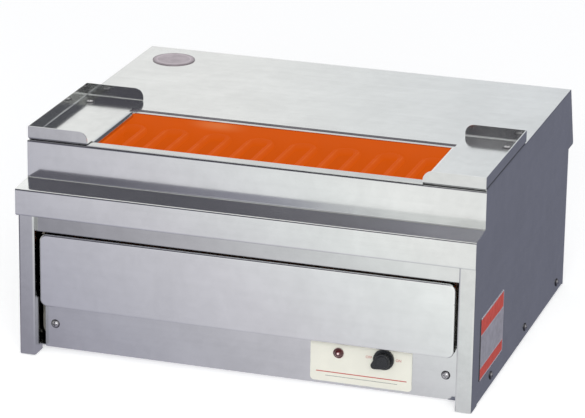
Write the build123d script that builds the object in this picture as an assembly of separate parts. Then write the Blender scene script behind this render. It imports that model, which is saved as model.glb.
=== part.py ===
from build123d import *
import os

# Electric skewer grill: a bent stainless box with a glowing tube heater under a long top opening,
# a tray on each side of it, and a drip drawer below. Millimetres, +Z up, the front faces -Y.
# Lengths along Y are counted from the faces of the two front posts until the parts are written.

# Overall sizes
WIDTH = 500.0                # over the ends of the front panel
TOP_Z = 232.5                # top plate above the counter
SHEET = 1.0                  # stainless sheet
BEND = 1.2                   # inside radius of a sheet bend
FIT = 0.3                    # gap between sheets that are fitted together
SIDE_PROUD = 0.8             # front panel stands past each side panel by this much
SIDE_X = WIDTH / 2 - SIDE_PROUD
INNER_X = SIDE_X - SHEET - FIT

# Front panel: band, ledge and upper face
BAND_PROUD = 5.5
BAND_BOTTOM = 158.5
BAND_TOP = 188.0
LEDGE_DEPTH = 35.5
LEDGE_RISE = 2.5
SHADOW_GAP = 1.3             # top of the upper face below the top of the plate
TOP_SET_BACK = 3.5           # front edge of the plate behind the upper face, under the trays
BAND_LIP = 17.5              # stiffening lips at the lower and upper edges
FACE_LIP = 8.0
BAND_Y = -BAND_PROUD
FACE_Y = BAND_Y + LEDGE_DEPTH
FACE_TOP = TOP_Z - SHADOW_GAP

# Rear of the housing
REAR_Y = 410.0               # lower rear panel
HOOD_RUN = 23.0              # the hood leans out by this much
HOOD_TIP_Z = 162.0
HOOD_Y = REAR_Y + HOOD_RUN
HOOD_RETURN = 32.0
REAR_FLANGE = 13.0           # flange of each side panel behind the rear panel
REAR_FLANGE_Z = (9.0, HOOD_TIP_Z - 4.0)
REAR_SCREW_X = SIDE_X - (SHEET + REAR_FLANGE) / 2
REAR_SCREW_Z = (40.0, HOOD_TIP_Z - 22.0)

# Side panels, their post faces and the returns beside the control apron
PANEL_FOOT = 1.0             # lower edge of the side panels above the counter
POST_W = 17.7
POST_RETURN_TOP = 64.0
APRON_Y = 20.0               # front of the control apron behind the post faces
SIDE_HEM = 12.0
OUTLINE_ROUND = 1.5
POST_X = SIDE_X - POST_W
APRON_BACK = APRON_Y + SHEET

# Base, feet and the screws along the sides
FOOT_H = 5.0
FOOT_R = 11.0
FOOT_INSET_X = 45.0
FOOT_INSET_Y = 45.0
FOOT_EDGE = 1.0
FOOT_SCREW_WELL = 3.0
BASE_RIM = 17.0
LUG_W = 16.0                 # lugs of the base behind the apron, for its screws
LUG_TOP = 46.0
SIDE_SCREW_Z = 13.7
SIDE_SCREW_FRONT = 78.6
SIDE_SCREW_BACK = 33.0
SIDE_SCREWS = 3
SIDE_SCREW_PITCH = (REAR_Y - SIDE_SCREW_BACK - SIDE_SCREW_FRONT) / (SIDE_SCREWS - 1)
SIDE_SCREW_Y = [SIDE_SCREW_FRONT + index * SIDE_SCREW_PITCH for index in range(SIDE_SCREWS)]
FOOT_X = WIDTH / 2 - FOOT_INSET_X
BASE_Y0 = APRON_BACK + SHEET + FIT
BASE_Y1 = REAR_Y - 2 * SHEET - FIT
BASE_TOP = FOOT_H + SHEET

# Screws and nuts
TRUSS_R = 4.9
TRUSS_H = 2.4
M4_R = 2.0
M4_HOLE = 2.2
RECESS_W = 1.1
RECESS_L = 4.6
RECESS_DEPTH = 1.3
SHANK = 8.0
NUT_FLATS = 7.0
NUT_H = 3.2
NUT_PLAY = 0.05              # between a thread and its nut or bush

# Control apron and the plate on it
APRON_END = 4.3              # apron stops this much short of the posts' returns
APRON_BOTTOM = FOOT_H - SHEET
APRON_TOP = 67.0
APRON_FLANGE = 9.0
APRON_SCREW_INSET = 11.2
APRON_SCREW_Z = 31.5
PLATE_INSET = 47.2           # right end of the plate from the right end of the apron
PLATE_L = 110.0
PLATE_BOTTOM = 7.6
PLATE_H = 50.4
PLATE_T = 0.8
PLATE_ROUND = 4.0
PLATE_FACE = APRON_Y - PLATE_T
APRON_X = POST_X - APRON_END
APRON_SCREW_X = APRON_X - APRON_SCREW_INSET
PLATE_X = (APRON_X - PLATE_INSET - PLATE_L, APRON_X - PLATE_INSET)
PLATE_Z = (PLATE_BOTTOM, PLATE_BOTTOM + PLATE_H)

# Pilot lamp, placed from the upper left corner of the plate
LAMP_IN = 30.7
LAMP_DOWN = 16.9
LAMP_X = PLATE_X[0] + LAMP_IN
LAMP_Z = PLATE_Z[1] - LAMP_DOWN
LENS_R = 5.6
LENS_RIM = 1.6
DOME_R = 4.4
DOME_H = 3.6
LAMP_NECK_R = 3.9
LAMP_BODY_R = 5.2
LAMP_BODY_L = 24.0
NECK_HOLE = 0.2              # radial room of a neck in its hole

# Rotary switch and knob, placed from the upper right corner of the plate
KNOB_IN = 30.1
KNOB_DOWN = 17.4
KNOB_X = PLATE_X[1] - KNOB_IN
KNOB_Z = PLATE_Z[1] - KNOB_DOWN
SKIRT_R = 11.1
SKIRT_H = 2.6
KNOB_R = 8.4
KNOB_FACE_Y = 8.6
KNOB_LIFT = 0.6
KNOB_EDGE = 0.9
CAP_R = 6.4                  # raised middle of the knob
CAP_H = 1.2
NOSE_REACH = 9.7
NOSE_R = 4.0
NOSE_ANGLE = 213.0           # pointer at rest, counted from +X as seen from the front
POINTER_W = 1.2
POINTER_DEPTH = 0.4
POINTER_FROM = 7.4
KNOB_POCKET_R = 8.2
KNOB_POCKET = 1.8
SHAFT_R = 3.0
SHAFT_IN_KNOB = 5.0
SHAFT_IN_SWITCH = 5.0
RUN = 0.05                   # running clearance of the shaft
BUSHING_R = 4.7
SWITCH_W = 30.0
SWITCH_H = 24.0
SWITCH_D = 28.0
SWITCH_NUT_FLATS = 13.0
SWITCH_NUT_H = 2.0
KNOB_BACK_Y = PLATE_FACE - KNOB_LIFT
BUSHING_END_Y = PLATE_FACE - SWITCH_NUT_H

# Rail over the drawer
RAIL_Y = 6.5
RAIL_H = 20.3                # shown below the band
RAIL_TUCK = 1.5              # the rail runs this far behind the posts
RAIL_FLANGE = 10.5
RAIL_BOTTOM = BAND_BOTTOM - RAIL_H
RAIL_X = POST_X + RAIL_TUCK

# Drawer: front, drip pan and fixed guides
DRAWER_Y = 4.5
DRAWER_END = 4.0             # each end of the drawer front from the post beside it
DRAWER_TOP_GAP = 1.2
DRAWER_BOTTOM = 56.0
DRAWER_ROUND = 8.0
DRAWER_EDGE = 8.0
GRIP_END = 11.5              # the lower edge is open for the fingers except near its ends
PAN_INSET = 15.5             # inner wall of the pan from the end of the drawer front
PAN_BACK_ROOM = 80.0
PAN_LIFT = 4.0               # pan above the top of the apron
PAN_H = 43.0
PAN_RIM_W = 10.0
DRAWER_X = POST_X - DRAWER_END
DRAWER_Z = (DRAWER_BOTTOM, RAIL_BOTTOM - DRAWER_TOP_GAP)
DRAWER_GRIP_X = DRAWER_X - GRIP_END
PAN_X = DRAWER_X - PAN_INSET
PAN_Y1 = REAR_Y - PAN_BACK_ROOM
PAN_BOTTOM = APRON_TOP + PAN_LIFT
PAN_RIM_Z = PAN_BOTTOM + PAN_H
PAN_ROUND = 6.0
GUIDE_FLANGE = 9.5
GUIDE_FOOT = 15.0
GUIDE_SIDE_GAP = 1.5
GUIDE_BACK_ROOM = 10.0
GUIDE_TOP = PAN_RIM_Z - SHEET - FIT
GUIDE_X = PAN_X + SHEET + PAN_RIM_W + GUIDE_SIDE_GAP
GUIDE_Y0 = APRON_Y + APRON_FLANGE + FIT
GUIDE_Y1 = REAR_Y - GUIDE_BACK_ROOM

# Top opening, burner frame and heater well
TRAY_SPAN = 72.5             # each end of the opening from the end of the front panel
TRAY_LIP_R = 5.0             # the trays' inner edges are rolled down into the opening
FRAME_FRONT = 12.0           # front bar of the frame
OPEN_DEPTH = 113.5
FRAME_REAR = 5.2
FRAME_GAP = 0.8
WELL_END = 13.5              # well past the ends and the back of the opening
WELL_BACK = 6.0
WELL_FLANGE = 6.0
WELL_LIFT = 4.0              # liner above the pan's rim
BOARD_T = 11.0
BOARD_FRONT_T = 7.5
BOARD_EDGE = 6.0
BOARD_TOP_GAP = 6.5
OPEN_X = WIDTH / 2 - TRAY_SPAN
OPEN_Y0 = FACE_Y + FRAME_FRONT
OPEN_Y1 = OPEN_Y0 + OPEN_DEPTH
WELL_X = OPEN_X + WELL_END
WELL_Y1 = OPEN_Y1 + WELL_BACK
WELL_BOTTOM = PAN_RIM_Z + WELL_LIFT
BOARD_Z = (WELL_BOTTOM + BOARD_EDGE, TOP_Z - BOARD_TOP_GAP)
FRAME_X0 = OPEN_X + TRAY_LIP_R + FIT
FRAME_X1 = WELL_X + SHEET
WELL_TOP = TOP_Z - SHEET - FIT
WELL_Y0 = OPEN_Y0 + FIT

# Heater: one tube with sixteen legs
TUBE_R = 4.0
LEGS = 16
OUTER_LEG_GAP = 11.0         # middle of each outer leg from the well's side
HEATER_DOWN = 11.5
HEATER_FRONT_GAP = 5.5       # bends of the tube from the front and the back of the opening
HEATER_REAR_GAP = 13.0
END_IN = 8.5
END_REACH = 20.0             # ends of the tube past the well's sides
WALL_HOLE_R = 4.8
BUSH_R = 7.5
BUSH_PROUD = 4.0
BUSH_BORE = 4.1
STUD_R = 2.2
STUD_L = 9.0
BAR_IN = 6.0                 # front bar behind the ends of the tube
BAR_PITCH = 22.0
BAR_T = 1.6
BAR_H = 10.0
HEATER_Z = TOP_Z - HEATER_DOWN
HEATER_Y = (OPEN_Y0 + HEATER_FRONT_GAP, OPEN_Y1 - HEATER_REAR_GAP)
END_Y = HEATER_Y[0] + END_IN
OUTER_LEG_X = WELL_X - OUTER_LEG_GAP
LEG_PITCH = 2 * OUTER_LEG_X / (LEGS - 1)
TURN_R = LEG_PITCH / 2
BAR_Y = (END_Y + BAR_IN, END_Y + BAR_IN + BAR_PITCH)
HEATER_END_X = WELL_X + SHEET + END_REACH

# Side trays
TRAY_DEPTH = 170.0
TRAY_H = 14.0                # top of the flanges above the top plate
TRAY_ROUND = 10.0
TRAY_LIP = 6.0
TRAY_SCREW_SIDE = 14.2       # tray screws from the outer, front and rear flanges
TRAY_SCREW_FRONT = 20.0
TRAY_SCREW_REAR = 26.5
TRAY_FLOOR = TOP_Z + SHEET
TRAY_TOP = TOP_Z + TRAY_H
TRAY_Y1 = FACE_Y + TRAY_DEPTH
TRAY_SCREW_X = SIDE_X - TRAY_SCREW_SIDE
TRAY_SCREW_Y = (FACE_Y + TRAY_SCREW_FRONT, TRAY_Y1 - TRAY_SCREW_REAR)

# Badge, side label and rear fittings
BADGE_SIDE = 44.0            # middle of the badge from the left end and from the top's rear edge
BADGE_BACK = 46.5
BADGE_R = 24.2
BADGE_T = 1.0
LABEL_T = 0.4
LABEL_Y = (27.5, 124.0)
LABEL_Z = (25.0, 94.0)
LABEL_ROUND = 2.0
VENT_L = 42.0
VENT_W = 5.0
VENT_ROWS = 3
VENT_COLUMNS = 5
VENT_PITCH_X = 64.0
VENT_PITCH_Z = 13.0
VENT_DOWN = 40.0             # middle of the vents below the hood's lower edge
INLET_SIDE = 80.0            # cord bush from the left end
INLET_Z = 36.0
INLET_R = 8.0
INLET_RIM_R = 11.0
INLET_RIM = 3.0
INLET_BORE = 3.6
INLET_INSIDE = 6.0
BADGE_X = BADGE_SIDE - WIDTH / 2
BADGE_Y = REAR_Y - BADGE_BACK
VENT_Z = HOOD_TIP_Z - VENT_DOWN
INLET_X = INLET_SIDE - WIDTH / 2

# Terminal block and leads
BLOCK_IN = 50.0              # middle of the block from the cord bush
BLOCK_BACK_ROOM = 60.0
BLOCK_W = 46.0
BLOCK_D = 20.0
BLOCK_H = 18.0
BLOCK_WAYS = 3
BLOCK_PITCH = 13.0
BLOCK_SCREW_R = 2.8
BLOCK_SCREW_H = 1.2
BLOCK_STEP = 6.0
LEAD_R = 1.5
LEAD_BEND = 7.0
LEAD_SIDE = 12.0             # the leads climb this far beside the guides
LEAD_UP = 7.0
LEAD_IN = 10.7
LEAD_HOLE_R = 4.0
LEAD_SPREAD = 8.0
LEAD_BACK = 9.0
BLOCK_X = INLET_X + BLOCK_IN
BLOCK_Y = REAR_Y - BLOCK_BACK_ROOM
LEAD_X = GUIDE_X + LEAD_SIDE
LEAD_Z = BASE_TOP + LEAD_UP
LEAD_Y = GUIDE_Y0 + LEAD_IN

FRONT_MOST = BAND_Y
CENTRE_Y = (FRONT_MOST + HOOD_Y) / 2

os.makedirs("parts", exist_ok=True)


def save(name, *solids):
    """Write one sub-part, with the origin moved to the middle of the footprint."""
    shapes = [Pos(0, -CENTRE_Y, 0) * solid for solid in solids]
    whole = shapes[0] if len(shapes) == 1 else Compound(children=shapes)
    whole.label = name
    export_step(whole, f"parts/{name}.step")


def slab(x, y, z):
    """Box between two limits along each axis."""
    size = [high - low for low, high in (x, y, z)]
    middle = [(high + low) / 2 for low, high in (x, y, z)]
    return Pos(*middle) * Box(*size)


def sheet_face(points, thickness, bend):
    """Section of a bent sheet: the sheet lies to the left of the line through the points."""
    line = [Vector(*point) for point in points]
    ways = [(b - a).normalized() for a, b in zip(line, line[1:])]
    lefts = [Vector(-way.Y, way.X) for way in ways]
    far = [line[0] + lefts[0] * thickness]
    near_radii, far_radii = [], []
    for index in range(1, len(line) - 1):
        before, after = lefts[index - 1], lefts[index]
        far.append(line[index] + (before + after) * (thickness / (1 + before.dot(after))))
        turns_left = ways[index - 1].cross(ways[index]).Z > 0
        near_radii.append(bend + thickness if turns_left else bend)
        far_radii.append(bend if turns_left else bend + thickness)
    far.append(line[-1] + lefts[-1] * thickness)
    radii = [0, *near_radii, 0, 0, *reversed(far_radii), 0]
    return make_face(FilletPolyline(*line, *reversed(far), radius=radii, close=True))


def along_x(points, x0, x1, thickness=SHEET, bend=BEND):
    """Bent sheet whose section is drawn in (Y, Z)."""
    return extrude(Plane.YZ.offset(x0) * sheet_face(points, thickness, bend), x1 - x0)


def along_y(points, y0, y1, thickness=SHEET, bend=BEND):
    """Bent sheet whose section is drawn in (X, Z)."""
    return extrude(Plane.XZ.offset(-y1) * sheet_face(points, thickness, bend), y1 - y0)


def along_z(points, z0, z1, thickness=SHEET, bend=BEND):
    """Bent sheet whose section is drawn in (X, Y)."""
    return extrude(Plane.XY.offset(z0) * sheet_face(points, thickness, bend), z1 - z0)


def looking(x, y, z, direction):
    """Plane at a point whose normal is the direction that a screw head faces."""
    return Plane(origin=(x, y, z), z_dir=direction)


def rod(plane, radius, start, end):
    """Round bar along a plane's normal."""
    return extrude(plane.offset(start) * Circle(radius), end - start)


def dome(radius, height):
    """Shallow cap that stands on the XY plane."""
    ball = (radius ** 2 + height ** 2) / (2 * height)
    reach = (-2 * radius, 2 * radius)
    return Pos(0, 0, height - ball) * Sphere(ball) & slab(reach, reach, (0, 2 * height))


def screw(plane, length=SHANK):
    """Truss head screw with a cross recess, seated on a plane."""
    body = dome(TRUSS_R, TRUSS_H) + rod(Plane.XY, M4_R, -length, 0)
    for angle in (0, 90):
        slot = Rot(0, 0, angle) * Box(RECESS_L, RECESS_W, RECESS_DEPTH)
        body -= Pos(0, 0, TRUSS_H - RECESS_DEPTH / 2) * slot
    return plane * body


def hex_nut(plane, flats, height, bore):
    """Hexagon nut that stands on a plane."""
    outline = plane * RegularPolygon(flats / 2, 6, major_radius=False)
    return extrude(outline, height) - rod(plane, bore, -height, 2 * height)


def both_sides(solid):
    """The solid and its mirror image."""
    return solid, mirror(solid, Plane.YZ)


def hood_line():
    """Outer line of the top plate, from the hood's return to the front edge."""
    return [(HOOD_Y - HOOD_RETURN, HOOD_TIP_Z), (HOOD_Y, HOOD_TIP_Z), (REAR_Y, TOP_Z),
            (FACE_Y + TOP_SET_BACK, TOP_Z)]


def side_outline():
    """Outline of a side panel, kept inside the front panel and the hood."""
    inside = SHEET + FIT
    slope = LEDGE_RISE / LEDGE_DEPTH
    lean = HOOD_RUN / (TOP_Z - HOOD_TIP_Z)
    hood_inside = inside * (1 + lean ** 2) ** 0.5
    top = TOP_Z - inside
    tip = HOOD_TIP_Z + inside
    points = [
        (0, PANEL_FOOT), (0, BAND_BOTTOM - FIT), (BAND_Y + inside, BAND_BOTTOM - FIT),
        (BAND_Y + inside, BAND_TOP - inside + slope * inside),
        (FACE_Y + inside, BAND_TOP + LEDGE_RISE - inside + slope * inside),
        (FACE_Y + inside, top), (REAR_Y + lean * inside - hood_inside, top),
        (HOOD_Y - lean * inside - hood_inside, tip), (REAR_Y, tip), (REAR_Y, PANEL_FOOT)]
    radii = [0, 0, 0] + [OUTLINE_ROUND] * 5 + [0, 0]
    return make_face(FilletPolyline(*points, radius=radii, close=True))


def side_panel():
    """Right side panel with its post face, the post's return and a hem."""
    corner = SHEET + BEND
    panel = extrude(Plane.YZ.offset(SIDE_X - SHEET) * side_outline(), SHEET)
    panel -= slab((SIDE_X - SHEET, SIDE_X), (-FIT, corner), (PANEL_FOOT, BAND_BOTTOM - FIT))
    panel -= slab((SIDE_X - SHEET, SIDE_X), (BASE_Y0, BASE_Y1), (PANEL_FOOT, PANEL_FOOT + corner))
    post = [(POST_X, 0), (SIDE_X, 0), (SIDE_X, corner + SHEET)]
    hem = [(SIDE_X - SIDE_HEM, PANEL_FOOT), (SIDE_X, PANEL_FOOT), (SIDE_X, PANEL_FOOT + corner + SHEET)]
    panel += along_z([(POST_X, APRON_BACK), *post], PANEL_FOOT, POST_RETURN_TOP)
    panel += along_z([(POST_X, RAIL_Y - FIT), *post], POST_RETURN_TOP, BAND_BOTTOM - FIT)
    panel += along_y(hem, BASE_Y0, BASE_Y1)
    flange_y = (REAR_Y - 2 * SHEET, REAR_Y - SHEET)
    panel += slab((SIDE_X - SHEET - REAR_FLANGE, SIDE_X), flange_y, REAR_FLANGE_Z)
    for y in SIDE_SCREW_Y:
        panel -= rod(looking(SIDE_X, y, SIDE_SCREW_Z, (1, 0, 0)), M4_HOLE, -2 * SHEET, SHEET)
    for z in REAR_SCREW_Z:
        panel -= rod(looking(REAR_SCREW_X, REAR_Y, z, (0, 1, 0)), M4_HOLE, -3 * SHEET, 0)
    return panel


def front_panel():
    """Band, ledge and upper face in one bent sheet."""
    line = [(BAND_Y + BAND_LIP, BAND_BOTTOM), (BAND_Y, BAND_BOTTOM), (BAND_Y, BAND_TOP),
            (FACE_Y, BAND_TOP + LEDGE_RISE), (FACE_Y, FACE_TOP), (FACE_Y + FACE_LIP, FACE_TOP)]
    panel = along_x(list(reversed(line)), -WIDTH / 2, WIDTH / 2)
    bend_out = SHEET + BEND
    for end in ((-WIDTH / 2, -INNER_X), (INNER_X, WIDTH / 2)):
        panel -= slab(end, (BAND_Y + SHEET, BAND_Y + BAND_LIP), (BAND_BOTTOM, BAND_BOTTOM + bend_out))
        panel -= slab(end, (FACE_Y + SHEET, FACE_Y + FACE_LIP), (FACE_TOP - bend_out, FACE_TOP))
    return panel


def top_plate():
    """Top plate with the leaning hood at the back, notched for the burner frame."""
    plate = along_x(hood_line(), -SIDE_X, SIDE_X)
    notch_x = FRAME_X1 + FRAME_GAP
    plate -= slab((-notch_x, notch_x), (FACE_Y - SHEET, WELL_Y1 + WELL_FLANGE + FRAME_GAP),
                  (TOP_Z - 2 * SHEET, TOP_Z + SHEET))
    for end in ((-SIDE_X, -INNER_X), (INNER_X, SIDE_X)):
        plate -= slab(end, (HOOD_Y - HOOD_RETURN, REAR_Y + FIT), (HOOD_TIP_Z, HOOD_TIP_Z + SHEET))
    for x in (-TRAY_SCREW_X, TRAY_SCREW_X):
        for y in TRAY_SCREW_Y:
            plate -= rod(looking(x, y, TOP_Z, (0, 0, 1)), M4_HOLE, -2 * SHEET, SHEET)
    return plate


def burner_frame():
    """Flat frame round the opening; its front bar shows between the trays."""
    frame = slab((-FRAME_X1, FRAME_X1), (FACE_Y, OPEN_Y1 + FRAME_REAR), (TOP_Z - SHEET, TOP_Z))
    under_tray = slab((FRAME_X0, FRAME_X1), (FACE_Y, FACE_Y + TOP_SET_BACK), (TOP_Z - SHEET, TOP_Z))
    for corner in both_sides(under_tray):
        frame -= corner
    return frame - slab((-FRAME_X0, FRAME_X0), (OPEN_Y0, OPEN_Y1), (TOP_Z - 2 * SHEET, TOP_Z + SHEET))


def well_liner():
    """Four walls round the heater, open above and below, with a flange along the back."""
    span = (-FRAME_X1, FRAME_X1)
    corner = WELL_TOP - BEND - SHEET
    liner = slab(span, (WELL_Y0 - SHEET, WELL_Y1 + SHEET), (WELL_BOTTOM, WELL_TOP))
    liner -= slab((-WELL_X, WELL_X), (WELL_Y0, WELL_Y1), (WELL_BOTTOM - SHEET, TOP_Z))
    liner -= slab(span, (WELL_Y1 - SHEET, WELL_Y1 + 2 * SHEET), (corner, TOP_Z))
    flange = [(WELL_Y1 + WELL_FLANGE, TOP_Z), (WELL_Y1, TOP_Z), (WELL_Y1, corner - SHEET)]
    liner += along_x(flange, *span)
    for side in (-1, 1):
        liner -= rod(well_side(side), WALL_HOLE_R, -2 * SHEET, SHEET)
    return liner


def well_side(side):
    """Plane on the outside of the well where one end of the heater comes through."""
    return looking(side * (WELL_X + SHEET), END_Y, HEATER_Z, (side, 0, 0))


def insulation_boards():
    """Fibre boards against the outside of the well."""
    y0, y1 = WELL_Y0 - SHEET, WELL_Y1 + SHEET
    x1 = WELL_X + SHEET
    front = slab((-x1, x1), (y0 - BOARD_FRONT_T, y0), BOARD_Z)
    rear = slab((-x1, x1), (y1, y1 + BOARD_T), BOARD_Z)
    side = slab((x1, x1 + BOARD_T), (y0, y1), BOARD_Z)
    side -= rod(well_side(1), BUSH_R + FIT, -BOARD_T, 2 * BOARD_T)
    return front, rear, *both_sides(side)


def heater_line():
    """Middle line of the heater tube, from its right end to its left end."""
    front, rear = HEATER_Y[0] + TUBE_R + TURN_R, HEATER_Y[1] - TUBE_R - TURN_R
    start = END_Y + TURN_R
    edges = [*heater_end_line(1), Line((OUTER_LEG_X, start), (OUTER_LEG_X, rear))]
    for leg in range(1, LEGS):
        x0 = OUTER_LEG_X - (leg - 1) * LEG_PITCH
        x1 = x0 - LEG_PITCH
        turn, peak, goal = (rear, rear + TURN_R, front) if leg % 2 else (front, front - TURN_R, rear)
        if leg == LEGS - 1:
            goal = start
        edges.append(ThreePointArc((x0, turn), ((x0 + x1) / 2, peak), (x1, turn)))
        edges.append(Line((x1, turn), (x1, goal)))
    return edges + heater_end_line(-1)


def heater_end_line(side):
    """Middle line of one end of the heater: straight in from the side, then round to the outer leg."""
    near, far = side * OUTER_LEG_X, side * (OUTER_LEG_X + TURN_R)
    knee = TURN_R * (1 - 0.5 ** 0.5)
    entry = Line((side * HEATER_END_X, END_Y), (far, END_Y))
    elbow = ThreePointArc((far, END_Y), (near + side * knee, END_Y + knee), (near, END_Y + TURN_R))
    return [entry, elbow]


def heater_tube():
    """Sheathed heater: sixteen legs in one unbroken tube, ends out to the sides."""
    path = Pos(0, 0, HEATER_Z) * Wire(heater_line())
    return sweep(looking(HEATER_END_X, END_Y, HEATER_Z, (-1, 0, 0)) * Circle(TUBE_R), path=path)


def heater_bush(side):
    """Ceramic bush that holds one end of the heater in the well's side."""
    length = BOARD_T + BUSH_PROUD
    return rod(well_side(side), BUSH_R, 0, length) - rod(well_side(side), BUSH_BORE, -SHEET, length + SHEET)


def heater_stud(side):
    """Terminal stud at one end of the heater."""
    reach = HEATER_END_X - WELL_X - SHEET
    return rod(well_side(side), STUD_R, reach, reach + STUD_L)


def heater_bars():
    """Two bars across the well that carry the legs."""
    top = HEATER_Z - TUBE_R - FIT
    return [slab((FIT - WELL_X, WELL_X - FIT), (y, y + BAR_T), (top - BAR_H, top)) for y in BAR_Y]


def tray():
    """Right side tray: a floor with three upright flanges and an inner edge turned down."""
    start = OPEN_X + TRAY_LIP_R
    body = tray_block(start, 0, TRAY_TOP) - tray_block(start - SHEET, SHEET, TRAY_TOP + SHEET)
    ends = [edge for edge in body.edges().filter_by(Axis.Y)
            if edge.center().X < start + FIT and edge.center().Z > TRAY_TOP - FIT]
    body = fillet(ends, TRAY_ROUND)
    lip = [(start + SHEET, TRAY_FLOOR), (OPEN_X, TRAY_FLOOR), (OPEN_X, TRAY_FLOOR - TRAY_LIP)]
    body += along_y(lip, OPEN_Y0 + FIT, OPEN_Y1 - FIT, bend=TRAY_LIP_R - SHEET)
    for y in TRAY_SCREW_Y:
        body -= rod(looking(TRAY_SCREW_X, y, TOP_Z, (0, 0, 1)), M4_HOLE, -SHEET, 2 * SHEET)
    return body


def tray_block(start, inset, top):
    """Block inside the three flanges, with its lower edges rounded like the bends."""
    block = slab((start, SIDE_X - inset), (FACE_Y + inset, TRAY_Y1 - inset), (TOP_Z + inset, top))
    lower = block.edges().group_by(Axis.Z)[0]
    return fillet(lower.sort_by(Axis.X)[1:], BEND + SHEET - inset)


def rear_panel():
    """Lower rear panel with vent slots, the cord bush hole and screw holes."""
    panel = slab((-INNER_X, INNER_X), (REAR_Y - SHEET, REAR_Y), (FOOT_H, HOOD_TIP_Z - FIT))
    slots = [(column * VENT_PITCH_X, VENT_Z + row * VENT_PITCH_Z)
             for column in centred(VENT_COLUMNS) for row in centred(VENT_ROWS)]
    for x, z in slots:
        panel -= extrude(facing_back(x, z) * SlotOverall(VENT_L, VENT_W), -2 * SHEET)
    panel -= rod(facing_back(INLET_X, INLET_Z), INLET_R + NECK_HOLE, -2 * SHEET, SHEET)
    for x in (-REAR_SCREW_X, REAR_SCREW_X):
        for z in REAR_SCREW_Z:
            panel -= rod(facing_back(x, z), M4_HOLE, -2 * SHEET, SHEET)
    return panel


def centred(count):
    """Whole or half steps, the same on each side of zero."""
    return [index - (count - 1) / 2 for index in range(count)]


def facing_front(x, z, y):
    """Plane that faces the front, with its own X to the right and Y up."""
    return Plane(origin=(x, y, z), x_dir=(1, 0, 0), z_dir=(0, -1, 0))


def facing_back(x, z, y=REAR_Y):
    """Plane that faces the back."""
    return Plane(origin=(x, y, z), x_dir=(-1, 0, 0), z_dir=(0, 1, 0))


def base_plate():
    """Base with turned-up sides for the side screws and two lugs for the apron's screws."""
    top = FOOT_H + BASE_RIM
    section = [(-INNER_X, top), (-INNER_X, FOOT_H), (INNER_X, FOOT_H), (INNER_X, top)]
    plate = along_y(section, BASE_Y0, BASE_Y1)
    lug = [(APRON_BACK, LUG_TOP), (APRON_BACK, FOOT_H), (BASE_Y0 + SHEET + BEND, FOOT_H)]
    for x in (-APRON_SCREW_X, APRON_SCREW_X):
        plate += along_x(lug, x - LUG_W / 2, x + LUG_W / 2)
        plate -= rod(facing_front(x, APRON_SCREW_Z, APRON_BACK), M4_HOLE, -2 * SHEET, SHEET)
    for x, y in foot_places():
        plate -= rod(looking(x, y, FOOT_H, (0, 0, 1)), M4_HOLE, -SHEET, 2 * SHEET)
    for side in (-1, 1):
        for y in SIDE_SCREW_Y:
            plate -= rod(looking(side * INNER_X, y, SIDE_SCREW_Z, (side, 0, 0)), M4_HOLE, -2 * SHEET, SHEET)
    return plate


def foot_places():
    """Middles of the four feet."""
    rows = (BASE_Y0 + FOOT_INSET_Y, BASE_Y1 - FOOT_INSET_Y)
    return [(x, y) for x in (-FOOT_X, FOOT_X) for y in rows]


def foot(x, y):
    """Rubber foot with a well for its screw."""
    place = looking(x, y, FOOT_H, (0, 0, -1))
    body = fillet(rod(place, FOOT_R, 0, FOOT_H).edges().sort_by(Axis.Z)[0], FOOT_EDGE)
    seat = FOOT_H - FOOT_SCREW_WELL
    return body - rod(place, M4_HOLE, -SHEET, FOOT_H) - rod(place, TRUSS_R + FIT, seat, FOOT_H + SHEET)


def foot_screw(x, y):
    """Screw that holds a foot to the base plate."""
    return screw(looking(x, y, FOOT_SCREW_WELL, (0, 0, -1)))


def control_apron():
    """Sheet under the drawer that carries the lamp and the switch."""
    section = [(APRON_Y + APRON_FLANGE, APRON_TOP), (APRON_Y, APRON_TOP),
               (APRON_Y, APRON_BOTTOM), (APRON_Y + APRON_FLANGE, APRON_BOTTOM)]
    apron = along_x(section, -APRON_X, APRON_X)
    for x in (-APRON_SCREW_X, APRON_SCREW_X):
        apron -= rod(facing_front(x, APRON_SCREW_Z, APRON_Y), M4_HOLE, -2 * SHEET, SHEET)
    return apron - control_holes()


def control_holes():
    """Holes for the lamp and the switch through the apron and its plate."""
    lamp = rod(facing_front(LAMP_X, LAMP_Z, APRON_Y), LAMP_NECK_R + NECK_HOLE, -2 * SHEET, 2 * SHEET)
    switch = rod(facing_front(KNOB_X, KNOB_Z, APRON_Y), BUSHING_R + NECK_HOLE, -2 * SHEET, 2 * SHEET)
    return lamp + switch


def rounded_plate(plane, across, up, radius, thickness):
    """Thin plate with rounded corners between two limits each way on a plane."""
    middle = Pos((across[0] + across[1]) / 2, (up[0] + up[1]) / 2)
    outline = RectangleRounded(across[1] - across[0], up[1] - up[0], radius)
    return extrude(plane * middle * outline, thickness)


def control_plate():
    """Pale plate on the apron behind the lamp and the knob."""
    plate = rounded_plate(facing_front(0, 0, APRON_Y), PLATE_X, PLATE_Z, PLATE_ROUND, PLATE_T)
    return plate - control_holes()


def lamp_lens():
    """Pilot lamp lens: a rim with a dome."""
    place = facing_front(LAMP_X, LAMP_Z, PLATE_FACE)
    return rod(place, LENS_R, 0, LENS_RIM) + place.offset(LENS_RIM) * dome(DOME_R, DOME_H)


def lamp_body():
    """Pilot lamp body behind the apron, with its neck through the sheets."""
    place = facing_front(LAMP_X, LAMP_Z, PLATE_FACE)
    through = PLATE_T + SHEET
    return rod(place, LAMP_NECK_R, -through, 0) + rod(place, LAMP_BODY_R, -through - LAMP_BODY_L, -through)


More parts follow.
